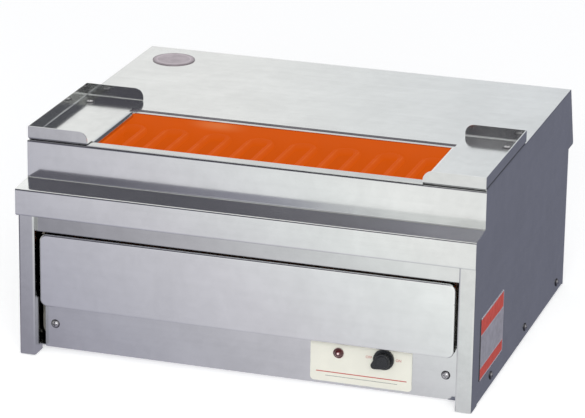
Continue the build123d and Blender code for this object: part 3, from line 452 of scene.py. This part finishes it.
def stainless(name, look, along, seed, shade):
    """Half-mirror rolled sheet: lines along one axis, clouds, waves, pits, dirt and painted shade in folds,
    worn edges with a painted highlight, painted light and shade from end to end.
    """
    n = Finish(name)
    grain = n.effect(rolled_grain(), Stretch=line_stretch(along), Seed=seed)
    broad = n.effect(cloudy_sheen(), Size=0.075, Seed=seed)
    close = n.clouds(0.014, seed + 4.0)
    pits = n.effect(specks(), Spacing=0.034, Reach=0.028)["Mask"]
    worn = n.effect(edge_wear(), Width=look.edge, Broken=0.5)["Mask"]
    # Dirt and painted shade in folds and joints: the mask darkens where the surface is close to another one
    grime_and_shade = n.effect(cavity_dirt_and_shade(), Reach=0.006)["Mask"]

    close_share, streak_depth, pit_share = 0.55, 0.035, 0.45
    cloud = n.math("ADD", n.math("MULTIPLY", broad["Clouds"], look.clouds),
                   n.math("MULTIPLY", close, look.clouds * close_share))
    streak = n.span(grain["Streaks"], 0.35, 0.75, 0.0, streak_depth)
    # Painted light and shade from the left end of the grill to the right, less the clouds and streaks
    ends = [corner.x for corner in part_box("front_panel")]
    light = n.math("SUBTRACT", n.span(n.split(n.place)[0], *ends, *shade), n.math("ADD", cloud, streak))
    base = list(look.color)
    pitted = n.mix(pits, n.scale(base, light), scaled(base, pit_share))

    # Worn edges with a painted highlight: paler towards the palest colour, as well as smoother
    polish, palest, wear_share = 1.25, 0.94, 0.75
    edge_highlight = [min(channel * polish, palest) for channel in base]
    polished_and_highlit = n.mix(n.math("MULTIPLY", worn, wear_share), pitted, edge_highlight)

    rough_lines, rough_clouds, rough_middle, smoothed = 0.05, 0.03, 0.035, 0.03
    uneven = n.math("ADD", n.math("MULTIPLY", grain["Streaks"], rough_lines),
                    n.math("MULTIPLY", broad["Clouds"], rough_clouds))
    rough = n.math("ADD", uneven, look.roughness - rough_middle)
    waves = n.bump(broad["Waves"], look.waves)
    relief = n.add("ShaderNodeBump", {"Height": grain["Lines"], "Distance": look.grain, "Normal": waves})
    return n.shade(Base_Color=n.mix(grime_and_shade, polished_and_highlit, look.grime_and_shade), Metallic=1.0,
                   Roughness=n.math("SUBTRACT", rough, n.math("MULTIPLY", worn, smoothed), clamp=True),
                   Normal=relief.outputs[0])


def bright_plated(name, look, axis=None):
    """Plated steel of screws and nuts: near mirror, with handling marks, dirt and painted shade in recesses,
    and painted shade round a head's rim.
    """
    n = Finish(name)
    sheen = n.clouds(0.004, 3.0)
    worn = n.effect(edge_wear(), Width=0.0003, Broken=0.4)["Mask"]
    # Dirt and painted shade in recesses
    grime_and_shade = n.effect(cavity_dirt_and_shade(), Reach=0.0025)["Mask"]
    color = n.mix(worn, n.mottle(sheen, look.plating, 0.8), look.plating_worn)
    # Painted shade round the rim of the head
    if axis:
        color = n.mix(n.group(head_rim_shade(), Axis=axis)["Mask"], color, look.plating_rim_shade)
    smoothest, uneven = look.plating_roughness, 0.12
    return n.shade(Base_Color=n.mix(grime_and_shade, color, look.plating_grime_and_shade), Metallic=1.0,
                   Roughness=n.span(sheen, 0.0, 1.0, smoothest, smoothest + uneven))


def moulded(name, plastics, color, roughness, gloss=0.5, dust=0.15):
    """Moulded plastic or rubber: slight orange peel, dusty on top, paler along edges."""
    n = Finish(name)
    sheen = n.clouds(0.006, 1.0)
    worn = n.effect(edge_wear(), Width=0.0004, Broken=0.6)["Mask"]
    dusty = n.effect(settled_dust(), Amount=dust)["Mask"]
    peel = n.effect(orange_peel(), Dimples=1400.0)["Height"]
    paler, wear_share, uneven = 0.06, 0.6, 0.1
    edged = n.mix(n.math("MULTIPLY", worn, wear_share), n.mottle(sheen, color, 0.8),
                  [channel + paler for channel in color])
    return n.shade(Base_Color=n.mix(dusty, edged, plastics.dust),
                   Roughness=n.span(sheen, 0.0, 1.0, roughness, roughness + uneven),
                   Specular_IOR_Level=gloss, Normal=n.bump(peel, PEEL_DEPTH))


def ink(name, color):
    """Screen-printed ink, a little worn."""
    n = Finish(name)
    noise = n.noise(n.place, 900.0, 3.0)
    fading, lift = 1.35, 0.02
    faded = [min(channel * fading + lift, 1.0) for channel in color]
    return n.shade(Base_Color=n.mix(n.span(noise, 0.4, 0.7), color, faded),
                   Roughness=n.span(noise, 0.3, 0.7, 0.4, 0.55))


def finish_node(node, made):
    """Gives a CAD node its material."""
    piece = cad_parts[node]
    if not piece.material_slots:
        piece.data.materials.append(made)
    for held in piece.material_slots:
        held.material = made
    piece.data.update()


def new_object(name, data):
    """Object of a mesh or other data, linked to the scene."""
    made = bpy.data.objects.new(name, data)
    bpy.context.scene.collection.objects.link(made)
    return made


def printed_piece(name, mesh, made):
    """Piece of ink on the control plate."""
    piece = new_object(name, mesh)
    mesh.materials.clear()
    mesh.materials.append(made)
    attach(piece, "housing")
    return piece


def raised_shape(name, outline, face, thickness, made):
    """Thin raised shape on a face that looks to the front, from its outline of (x, z) points."""
    built = bmesh.new()
    front = [built.verts.new((x, face - thickness, z)) for x, z in outline]
    back = [built.verts.new((x, face, z)) for x, z in outline]
    built.faces.new(front)
    built.faces.new(list(reversed(back)))
    for index in range(len(outline)):
        after = (index + 1) % len(outline)
        built.faces.new([front[after], front[index], back[index], back[after]])
    bmesh.ops.recalc_face_normals(built, faces=built.faces)
    mesh = bpy.data.meshes.new(name)
    built.to_mesh(mesh)
    built.free()
    return printed_piece(name, mesh, made)


def round_bar(left, right, z, width):
    """Outline of a level bar with rounded ends."""
    radius, steps = width / 2, 8
    turns = [math.pi * step / steps for step in range(steps + 1)]
    right_end = [(right - radius + radius * math.sin(turn), z + radius * math.cos(turn)) for turn in turns]
    left_end = [(left + radius - radius * math.sin(turn), z - radius * math.cos(turn)) for turn in turns]
    return right_end + left_end


def printed_word(name, word, x, z, size, face, thickness, made):
    """Short word printed on a face that looks to the front, centred on a point."""
    curve = bpy.data.curves.new(name, "FONT")
    curve.body = word
    curve.size = size
    curve.align_x, curve.align_y = "CENTER", "CENTER"
    curve.extrude = thickness / 2
    curve.resolution_u = 3
    source = new_object(name + "_line", curve)
    bpy.context.view_layer.update()
    mesh = bpy.data.meshes.new_from_object(source.evaluated_get(bpy.context.evaluated_depsgraph_get()))
    bpy.data.objects.remove(source)
    bpy.data.curves.remove(curve)
    mesh.transform(Matrix.Translation((x, face - thickness / 2, z)) @ Matrix.Rotation(math.pi / 2, 4, "X"))
    mesh.name = name
    return printed_piece(name, mesh, made)


class GRILL_OT_outer_sheets(bpy.types.Operator):
    """Finish the outer stainless sheets, each with its own run of grain and its own painted light and shade
    from end to end
    """
    bl_idname = "grill.outer_sheets"
    bl_label = "Outer sheets"

    def execute(self, context):
        look = context.scene.grill_steel
        for along, (start, step, sheets) in SHEETS.items():
            for index, node in enumerate(sheets):
                # Painted light and shade: some sheets are lighter or darker from one end of the grill to the
                # other
                shade = PAINTED_SHADES.get(node, PLAIN_SHADE)
                finish_node(node, stainless(f"Stainless {node}", look, along, start + step * index, shade))
        return {"FINISHED"}


class GRILL_OT_drip_pan(bpy.types.Operator):
    """Finish the drip pan with thin stains and drops"""
    bl_idname = "grill.drip_pan"
    bl_label = "Drip pan"

    def execute(self, context):
        finish_node("drip_pan", self.stained_steel(context.scene.grill_steel))
        return {"FINISHED"}

    def stained_steel(self, look):
        """Rolled sheet with brown stains and drops, which are duller than the steel."""
        n = Finish("Stainless drip pan")
        grain = n.effect(rolled_grain(), Stretch=line_stretch("X"), Seed=4.0)["Lines"]
        stain = n.clouds(0.035, 9.0)
        drops = n.effect(specks(), Spacing=0.018, Reach=0.2)["Mask"]
        stain_share, drop_share, steel_share, dull = 0.35, 0.6, 0.95, 0.45
        marks = n.math("MAXIMUM", n.math("MULTIPLY", stain, stain_share),
                       n.math("MULTIPLY", drops, drop_share))
        return n.shade(Base_Color=n.mix(marks, scaled(look.color, steel_share), look.stain),
                       Metallic=1.0, Normal=n.bump(grain, look.grain),
                       Roughness=n.span(marks, 0.0, drop_share, look.roughness, dull))


class GRILL_OT_fasteners(bpy.types.Operator):
    """Finish the screws, nuts, studs and the knob's shaft"""
    bl_idname = "grill.fasteners"
    bl_label = "Fasteners"

    def execute(self, context):
        look = context.scene.grill_steel
        plain = bright_plated("Plated steel", look)
        for node in FASTENERS:
            headed = node in HEAD_AXES
            finish_node(node, bright_plated(f"Plated {node}", look, HEAD_AXES[node]) if headed else plain)
        return {"FINISHED"}


class GRILL_OT_heater(bpy.types.Operator):
    """Finish the glowing heater tube, the liner of its well and what holds them; the liner and the bars glow
    by painted light
    """
    bl_idname = "grill.heater"
    bl_label = "Heater and well"

    def execute(self, context):
        heat, plastics = context.scene.grill_heat, context.scene.grill_plastics
        finish_node("heater_tube", self.glowing_tube(heat))
        finish_node("well_liner", self.well_with_painted_glow(heat, "Liner with painted glow"))
        finish_node("heater_bars", self.well_with_painted_glow(heat, "Bars with painted glow"))
        finish_node("insulation_boards", self.fibre_board(heat))
        finish_node("heater_bushes", moulded("White ceramic", plastics, heat.ceramic, 0.25, dust=0.05))
        return {"FINISHED"}

    def glowing_tube(self, heat):
        """Sheath that glows like its well, with a painted highlight along its crest, and not past the walls.
        """
        n = Finish("Glowing sheath")
        clouds = n.clouds(0.02, 2.0)
        inside = n.effect(inside_well())["Mask"]
        crest_faces, crest_from, crest_full = (0.40, 0.0, 0.917), 0.980, 0.9995
        crest_share, faintest = 0.62, 0.45
        facing = n.vector("DOT_PRODUCT", n.normal(), crest_faces)
        # Painted highlight along the crest, which faces up and to the right
        crest = n.span(facing, crest_from, crest_full, 0.0, crest_share, smooth=True)
        fading = n.math("MULTIPLY", crest, n.span(clouds, 0.0, 1.0, 1.0, faintest))
        glow = n.mix(inside, BLACK, n.mix(fading, heat.well_painted_glow, heat.tube_painted_highlight))
        scale = n.mix(clouds, scaled(heat.scorched, 0.5), scaled(heat.scorched, 0.3))
        return n.shade(Base_Color=scale, Roughness=n.span(clouds, 0.0, 1.0, 0.7, 0.85),
                       Emission_Color=glow, Emission_Strength=1.0, Specular_IOR_Level=0.05)

    def well_with_painted_glow(self, heat, name):
        """Sheet with a painted glow towards the heater and a painted highlight on its rear wall; outside the
        glow it is dark by heat tint and painted shade.
        """
        n = Finish(name)
        tint = n.clouds(0.05, 6.0)
        inside = n.effect(inside_well())["Mask"]
        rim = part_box("well_liner")[1]
        dim_below, bright_above, dimmest, brightest, unevenness = 0.0625, 0.0025, 0.90, 1.04, 0.05
        # Painted light: the glow is dimmer low in the well and brightest at its rim
        height = n.span(n.split(n.place)[2], rim.z - dim_below, rim.z + bright_above, dimmest, brightest)
        level = n.math("SUBTRACT", height, n.math("MULTIPLY", tint, unevenness))

        # Painted highlight: a pale spot of the glow high on the rear wall
        highlight_at, highlight_reach, highlight_share = (-0.083, -0.052, rim.z - 0.006), (0.04, 1.0, 0.0085), 0.30
        away = n.vector("LENGTH", n.vector("DIVIDE", n.vector("SUBTRACT", n.place, highlight_at), highlight_reach))
        sheen = n.span(away, 1.0, 0.0, 0.0, highlight_share, smooth=True)
        glow = n.mix(sheen, n.scale(heat.well_painted_glow, level), heat.well_painted_highlight)
        return n.shade(Base_Color=n.mix(inside, n.mottle(tint, heat.tinted_and_shaded_steel, 0.8), heat.scorched),
                       Metallic=n.math("SUBTRACT", 1.0, inside), Specular_IOR_Level=0.05,
                       Emission_Color=n.mix(inside, BLACK, glow), Emission_Strength=1.0,
                       Roughness=n.span(tint, 0.0, 1.0, 0.35, 0.5))

    def fibre_board(self, heat):
        """Matt board of pressed fibres."""
        n = Finish("Fibre board")
        fibres = n.noise(n.place, 700.0, 5.0)
        return n.shade(Base_Color=n.mix(fibres, heat.board, heat.fibre),
                       Roughness=n.span(fibres, 0.3, 0.7, 0.85, 0.95), Normal=n.bump(fibres, 0.0002))


class GRILL_OT_controls(bpy.types.Operator):
    """Finish the control plate, the lamp, the knob and the printed marks beside them"""
    bl_idname = "grill.controls"
    bl_label = "Controls"

    def execute(self, context):
        plastics, printed = context.scene.grill_plastics, context.scene.grill_print
        finish_node("knob", moulded("Knob plastic", plastics, plastics.knob, 0.22, 0.5, 0.03))
        finish_node("control_plate", self.cream_paint(printed))
        finish_node("lamp_lens", self.lens(plastics))
        for node in ("lamp_body", "switch_body"):
            finish_node(node, moulded(f"Moulding {node}", plastics, plastics.moulding, 0.45))
        self.marks(printed)
        return {"FINISHED"}

    def cream_paint(self, printed):
        """Cream paint with faint mottling, darker along its edge."""
        n = Finish("Cream paint")
        sheen = n.clouds(0.02, 5.0)
        worn = n.effect(edge_wear(), Width=0.0006, Broken=0.3)["Mask"]
        peel = n.effect(orange_peel(), Dimples=800.0)["Height"]
        paint = n.mottle(sheen, printed.plate, 0.96)
        return n.shade(Base_Color=n.mix(worn, paint, printed.plate_edge),
                       Roughness=n.span(sheen, 0.0, 1.0, 0.32, 0.42), Normal=n.bump(peel, PEEL_DEPTH))

    def lens(self, plastics):
        """Dark red lens, with painted shade that darkens it towards its outline as seen, and a painted glint
        that glows a little right of and above its middle.
        """
        n = Finish("Lamp lens")
        # Painted shade: the lens is darker towards its outline as seen
        facing = n.add("ShaderNodeLayerWeight", {"Blend": 0.5}).outputs["Facing"]
        low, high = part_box("lamp_lens")
        # Painted glint: a small spot a little right of and above the lens's middle
        aside, core, edge = 0.0006, 0.0005, 0.0016
        tip = ((low.x + high.x) / 2 + aside, 0.0, (low.z + high.z) / 2 + aside)
        away = n.vector("DISTANCE", n.vector("MULTIPLY", n.place, (1.0, 0.0, 1.0)), tip)
        lit = n.mix(n.span(away, edge, core, smooth=True), BLACK, plastics.lens_painted_glint)
        return n.shade(Base_Color=n.mottle(facing, plastics.lens, 0.12), Coat_Weight=1.0,
                       Emission_Color=lit, Emission_Strength=1.0,
                       Roughness=n.span(n.noise(n.place, 300.0, 2.0), 0.3, 0.7, 0.08, 0.14))

    def marks(self, printed):
        """Two rules under the lamp and the knob, and the words for the knob's two positions."""
        low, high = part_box("control_plate")
        knob_low, knob_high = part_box("knob_shaft")
        knob = (knob_low + knob_high) / 2
        red, dark = ink("Red ink", printed.red_ink), ink("Dark ink", printed.dark_ink_and_shadow)
        for (name, (left, right, up, width)), made in zip(RULES.items(), (red, dark)):
            outline = round_bar(low.x + left, high.x - right, low.z + up, width)
            raised_shape(name, outline, low.y, printed.ink, made)
        for name, (word, aside) in WORDS.items():
            printed_word(name, word, knob.x + aside, knob.z - WORD_DROP, WORD_SIZE, low.y, printed.ink, red)


class GRILL_OT_label_and_badge(bpy.types.Operator):
    """Finish the side label and the round badge, both without any words"""
    bl_idname = "grill.label_and_badge"
    bl_label = "Label and badge"

    def execute(self, context):
        printed = context.scene.grill_print
        finish_node("side_label", self.label(printed))
        finish_node("badge", self.badge(printed))
        return {"FINISHED"}

    def label(self, printed):
        """Plain field between two coloured bands, with a thin pale border and a painted shadow along its
        front edge.
        """
        low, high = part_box("side_label")
        n = Finish("Printed label")
        clouds = n.clouds(0.008, 4.0)
        at = n.split(n.place)
        across, up = at[1], at[2]
        from_side = n.math("MINIMUM", n.math("SUBTRACT", across, low.y), n.math("SUBTRACT", high.y, across))
        from_end = n.math("MINIMUM", n.math("SUBTRACT", up, low.z), n.math("SUBTRACT", high.z, up))
        border = n.math("LESS_THAN", n.math("MINIMUM", from_side, from_end), printed.border)
        top, foot = high.z - printed.head_band, low.z + printed.foot_band
        bands = self.ends(n, up, top, foot)
        lines = self.ends(n, up, top - printed.band_line, foot + printed.band_line)
        field = n.mix(lines, n.mottle(clouds, printed.label_field, 0.8), printed.label_edge)
        banded = n.mix(bands, field, n.mottle(clouds, printed.label_band, 0.85))
        bordered = n.mix(border, banded, printed.label_edge)
        # Painted shadow: a dark strip along the label's front edge
        front = n.math("LESS_THAN", across, low.y + printed.front_painted_shadow)
        return n.shade(Base_Color=n.mix(front, bordered, printed.dark_ink_and_shadow),
                       Roughness=n.span(clouds, 0.0, 1.0, 0.3, 0.4))

    def ends(self, n, up, top, foot):
        """One above a height and below another."""
        return n.math("MAXIMUM", n.math("GREATER_THAN", up, top), n.math("LESS_THAN", up, foot))

    def badge(self, printed):
        """Disc with a darker rim and a plain ring."""
        low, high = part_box("badge")
        middle, reach = (low + high) / 2, (high.x - low.x) / 2
        n = Finish("Printed badge")
        rim_from, ring_at, ring_half, ring_share = 0.93, 0.80, 0.035, 0.7
        radius = n.vector("DISTANCE", n.place, (middle.x, middle.y, high.z))
        outward = n.math("DIVIDE", radius, reach)
        rim = n.math("GREATER_THAN", outward, rim_from)
        ring = n.math("LESS_THAN", n.math("ABSOLUTE", n.math("SUBTRACT", outward, ring_at)), ring_half)
        sheen = n.clouds(0.012, 8.0)
        ringed = n.mix(n.math("MULTIPLY", ring, ring_share), n.mottle(sheen, printed.badge, 0.86),
                       scaled(printed.badge, 1.3))
        return n.shade(Base_Color=n.mix(rim, ringed, scaled(printed.badge, 0.55)),
                       Roughness=n.span(sheen, 0.0, 1.0, 0.3, 0.45))


class GRILL_OT_inside_parts(bpy.types.Operator):
    """Finish the wiring, the terminal block, the feet and the cord bush"""
    bl_idname = "grill.inside_parts"
    bl_label = "Inside parts"

    def execute(self, context):
        plastics = context.scene.grill_plastics
        for node in ("feet", "cord_bush"):
            finish_node(node, moulded(f"Rubber {node}", plastics, plastics.rubber, 0.6, 0.3, 0.25))
        finish_node("terminal_block", moulded("Terminal block plastic", plastics, plastics.pale, 0.4))
        finish_node("leads", self.woven_sleeve(plastics))
        return {"FINISHED"}

    def woven_sleeve(self, plastics):
        """Glass-fibre sleeve with its threads on a slant."""
        n = Finish("Woven sleeve")
        weave = n.add("ShaderNodeTexWave", {"Vector": n.place, "Scale": 900.0, "Distortion": 2.0},
                      bands_direction="DIAGONAL").outputs[1]
        return n.shade(Base_Color=n.mix(weave, plastics.sleeve, plastics.thread),
                       Roughness=n.span(weave, 0.0, 1.0, 0.7, 0.85), Normal=n.bump(weave, 0.0001))


class GRILL_OT_stage(bpy.types.Operator):
    """Set up the camera, the white room, the soft lamp and the cards that the metal mirrors"""
    bl_idname = "grill.stage"
    bl_label = "Stage"

    def execute(self, context):
        stage = context.scene.grill_stage
        self.camera(context, stage)
        self.world(context, stage)
        self.floor(stage)
        self.lamp(stage)
        self.cards()
        return {"FINISHED"}

    def camera(self, context, stage):
        """Camera at the photograph's place and turn."""
        data = bpy.data.cameras.new("Camera")
        data.lens = stage.lens
        data.sensor_width = 36.0
        data.clip_start, data.clip_end = 0.1, 100.0
        camera = new_object("Camera", data)
        right = (0.95204, 0.30564, 0.01469)
        up = (-0.11235, 0.30451, 0.94586)
        back = (0.28461, -0.90214, 0.32424)
        turn = Matrix((right, up, back)).transposed().to_4x4()
        camera.matrix_world = Matrix.Translation(stage.camera_at) @ turn
        context.scene.camera = camera

    def world(self, context, stage):
        """White for the camera, for mirrors and through glass; a plain soft fill for the rest."""
        world = bpy.data.worlds.new("White room")
        world.use_nodes = True
        world.node_tree.nodes.clear()
        n = Nodes(world.node_tree)
        rays = n.add("ShaderNodeLightPath").outputs
        shown = n.math("MAXIMUM", rays["Is Camera Ray"], mirrored(n, rays))
        white = n.add("ShaderNodeBackground", {"Color": WHITE, "Strength": 1.0})
        fill = n.add("ShaderNodeBackground", {"Color": stage.fill_color, "Strength": stage.fill})
        both = n.add("ShaderNodeMixShader", {0: shown, 1: fill.outputs[0], 2: white.outputs[0]})
        n.add("ShaderNodeOutputWorld", {"Surface": both.outputs[0]})
        context.scene.world = world
        context.scene.view_settings.view_transform = "Standard"

    def floor(self, stage):
        """White floor that keeps the object's shadow, and is plain white in mirrors."""
        reach = 4.0
        floor = stage_plane("floor", (-reach, -reach, 0.0), (2 * reach, 0.0, 0.0), (0.0, 2 * reach, 0.0))
        made = empty_material("White floor")
        n = Nodes(made.node_tree)
        rays = n.add("ShaderNodeLightPath").outputs
        matt = n.add("ShaderNodeBsdfDiffuse", {"Color": stage.floor})
        glow = n.add("ShaderNodeEmission", {"Color": WHITE, "Strength": stage.floor_glow})
        lit = n.add("ShaderNodeAddShader", {0: matt.outputs[0], 1: glow.outputs[0]})
        plain = n.add("ShaderNodeEmission", {"Color": WHITE, "Strength": 1.0})
        seen = n.add("ShaderNodeMixShader", {0: rays["Is Camera Ray"], 1: matt.outputs[0],
                                             2: lit.outputs[0]})
        whole = n.add("ShaderNodeMixShader", {0: mirrored(n, rays), 1: seen.outputs[0], 2: plain.outputs[0]})
        n.add("ShaderNodeOutputMaterial", {"Surface": whole.outputs[0]})
        floor.data.materials.append(made)

    def lamp(self, stage):
        """One large soft lamp in front and to the right."""
        data = bpy.data.lights.new("Key lamp", "AREA")
        data.shape = "RECTANGLE"
        data.size, data.size_y = 1.6, 1.0
        data.energy = stage.key
        lamp = new_object("Key lamp", data)
        at, target = Vector((0.6, -2.3, 0.95)), Vector((0.0, 0.0, 0.1))
        turn = (target - at).to_track_quat("-Z", "Y").to_matrix().to_4x4()
        lamp.matrix_world = Matrix.Translation(at) @ turn

    def cards(self):
        """Papers that the metal mirrors."""
        # Grey, on the floor in front, lighter to the right and away from the grill
        card("front_floor_card", left=-1.6, front=-1.5, foot=PAPER_HEIGHT, width=2.3, depth=1.335,
             fade=(0.075, 0.90, -0.73),
             tones={0.0: (0.10, 0.095, 0.125), 0.30: (0.30, 0.29, 0.36), 0.46: (0.465, 0.457, 0.535),
                    0.68: (0.68, 0.665, 0.725), 0.90: (0.905, 0.925, 0.935), 1.0: WHITE})
        # Dark, upright in front, lighter low down and to the right
        card("front_card", left=-2.4, front=-1.4, foot=0.0, width=3.6, rise=1.9,
             fade=(-1.268, 1.111, -0.9),
             tones={0.0: (0.105, 0.101, 0.126), 0.30: (0.135, 0.129, 0.164), 0.36: (0.15, 0.144, 0.184),
                    0.49: (0.30, 0.288, 0.358), 0.57: (0.31, 0.307, 0.385), 0.66: (0.41, 0.408, 0.49),
                    0.76: (0.93, 0.94, 0.97), 1.0: WHITE})
        # Dark and narrow, upright in front: the right tray mirrors it
        card("bar_card", left=-0.40, front=-1.39, foot=0.52, width=0.8, rise=0.26, fade=(0.0, 0.0, 3.846),
             tones={0.0: (0.45, 0.44, 0.48), 0.12: (0.03, 0.028, 0.034), 0.74: (0.03, 0.028, 0.034),
                    0.78: (0.12, 0.11, 0.13), 0.86: (0.50, 0.48, 0.53), 1.0: (0.66, 0.64, 0.69)})
        # Dark, upright in front: the corner of the left tray mirrors it
        card("corner_card", left=0.15, front=-1.38, foot=0.50, width=0.45, rise=0.5, fade=(0.0, 0.0, 2.0),
             tones={0.0: (0.04, 0.038, 0.045), 0.85: (0.06, 0.057, 0.066), 1.0: (0.3, 0.29, 0.33)})
        # Overhead, dark in front and lighter above the grill
        card("ceiling_card", left=-2.4, front=-1.4, foot=1.9, width=2.9, depth=1.5,
             fade=(-1.16, 0.33, 1.6),
             tones={0.0: (0.04, 0.038, 0.045), 0.5: (0.12, 0.115, 0.13), 0.6: (0.2, 0.195, 0.21),
                    0.8: (0.8, 0.8, 0.81), 1.0: WHITE})
        # Dark, on the floor to the left
        card("left_floor_card", left=-1.8, front=-0.16, foot=PAPER_HEIGHT, width=1.53, depth=1.6,
             fade=(0.0, 0.6, 0.0), tones={0.0: (0.22, 0.21, 0.25), 1.0: (0.13, 0.125, 0.15)})
        # Dark bluish, on the floor to the right and behind
        card("side_floor_card", left=0.218, front=-0.2135, foot=UPPER_PAPER_HEIGHT, width=1.35, depth=1.85,
             fade=(0.0, 0.45, 0.12),
             tones={0.0: (0.17, 0.175, 0.226), 0.5: (0.19, 0.195, 0.248), 1.0: (0.30, 0.31, 0.37)})
        # Dark, upright behind on the right
        card("rear_card", left=0.03, front=1.6, foot=0.0, width=2.5, rise=1.35, fade=(0.0, 0.37, 0.0),
             tones={0.0: (0.12, 0.12, 0.14), 0.8: (0.14, 0.14, 0.165), 1.0: (0.4, 0.4, 0.45)})
        # White, far behind, a little greyer to the right
        card("back_card", left=-2.6, front=3.6, foot=0.0, width=4.0, rise=3.2, fade=(-1.2, 0.93, 0.0),
             tones={0.0: WHITE, 0.3: (0.93, 0.945, 0.96), 0.6: (0.88, 0.90, 0.93), 1.0: (0.80, 0.82, 0.86)})


def mirrored(n, rays):
    """One for rays from mirrors and through glass."""
    return n.math("MAXIMUM", rays["Is Glossy Ray"], rays["Is Transmission Ray"])


def stage_plane(name, corner, across, up):
    """Flat stage piece from a corner and two sides, with its place along the sides as its UV."""
    corner, across, up = Vector(corner), Vector(across), Vector(up)
    mesh = bpy.data.meshes.new(name)
    mesh.from_pydata([corner, corner + across, corner + across + up, corner + up], [], [(0, 1, 2, 3)])
    layer = mesh.uv_layers.new(name="UVMap")
    for loop, uv in zip(layer.data, [(0, 0), (1, 0), (1, 1), (0, 1)]):
        loop.uv = uv
    piece = new_object(name, mesh)
    return piece


def card(name, left, front, foot, width, fade, tones, depth=0.0, rise=0.0):
    """Paper that only mirrors see. It lies level if it has a depth, and stands if it has a rise.

    Its tones follow a fade: a start, and the growth to the metre across the paper and up it."""
    piece = stage_plane(name, (left, front, foot), (width, 0.0, 0.0), (0.0, depth, rise))
    made = empty_material(name)
    n = Nodes(made.node_tree)
    start, growth_across, growth_up = fade
    place = n.group(slanting_fade(), Place=n.add("ShaderNodeTexCoord").outputs["UV"], Start=start,
                    Across=growth_across * width, Up=growth_up * (depth or rise))["Fade"]
    light = n.add("ShaderNodeEmission", {"Color": ramp(n, place, tones), "Strength": 1.0})
    n.add("ShaderNodeOutputMaterial", {"Surface": light.outputs[0]})
    piece.data.materials.append(made)
    for rays in ("camera", "diffuse", "transmission", "volume_scatter", "shadow"):
        setattr(piece, f"visible_{rays}", False)


def ramp(n, value, tones):
    """Colour ramp with a tone at each stop."""
    made = n.add("ShaderNodeValToRGB", {0: value})
    made.color_ramp.interpolation = "LINEAR"
    elements = made.color_ramp.elements
    for index, (stop, color) in enumerate(tones.items()):
        element = elements[index] if index < 2 else elements.new(stop)
        element.position = stop
        element.color = (*color, 1.0)
    return made.outputs[0]


PIECE_OPERATORS = (GRILL_OT_outer_sheets, GRILL_OT_drip_pan, GRILL_OT_fasteners, GRILL_OT_heater,
                   GRILL_OT_controls, GRILL_OT_label_and_badge, GRILL_OT_inside_parts, GRILL_OT_stage)
SETTINGS = {"grill_steel": GrillSteel, "grill_heat": GrillHeat, "grill_plastics": GrillPlastics,
            "grill_print": GrillPrint, "grill_stage": GrillStage}


class GRILL_PT_panel(bpy.types.Panel):
    """Panel that lists the grill's operators and settings"""
    bl_idname = "GRILL_PT_panel"
    bl_label = "Skewer grill"
    bl_space_type = "VIEW_3D"
    bl_region_type = "UI"
    bl_category = "Grill"

    def draw(self, context):
        for operator in PIECE_OPERATORS:
            self.layout.operator(operator.bl_idname)
        for name, group in SETTINGS.items():
            box = self.layout.box()
            for setting in group.__annotations__:
                box.prop(getattr(context.scene, name), setting)


def register():
    for group in SETTINGS.values():
        bpy.utils.register_class(group)
    for name, group in SETTINGS.items():
        setattr(bpy.types.Scene, name, PointerProperty(type=group))
    for operator in PIECE_OPERATORS:
        bpy.utils.register_class(operator)
    bpy.utils.register_class(GRILL_PT_panel)


def unregister():
    bpy.utils.unregister_class(GRILL_PT_panel)
    for operator in reversed(PIECE_OPERATORS):
        bpy.utils.unregister_class(operator)
    for name in SETTINGS:
        delattr(bpy.types.Scene, name)
    for group in reversed(list(SETTINGS.values())):
        bpy.utils.unregister_class(group)


def main():
    """Makes every piece and the stage."""
    register()
    bpy.ops.grill.outer_sheets()
    bpy.ops.grill.drip_pan()
    bpy.ops.grill.fasteners()
    bpy.ops.grill.heater()
    bpy.ops.grill.controls()
    bpy.ops.grill.label_and_badge()
    bpy.ops.grill.inside_parts()
    bpy.ops.grill.stage()


if __name__ == "__main__":
    main()
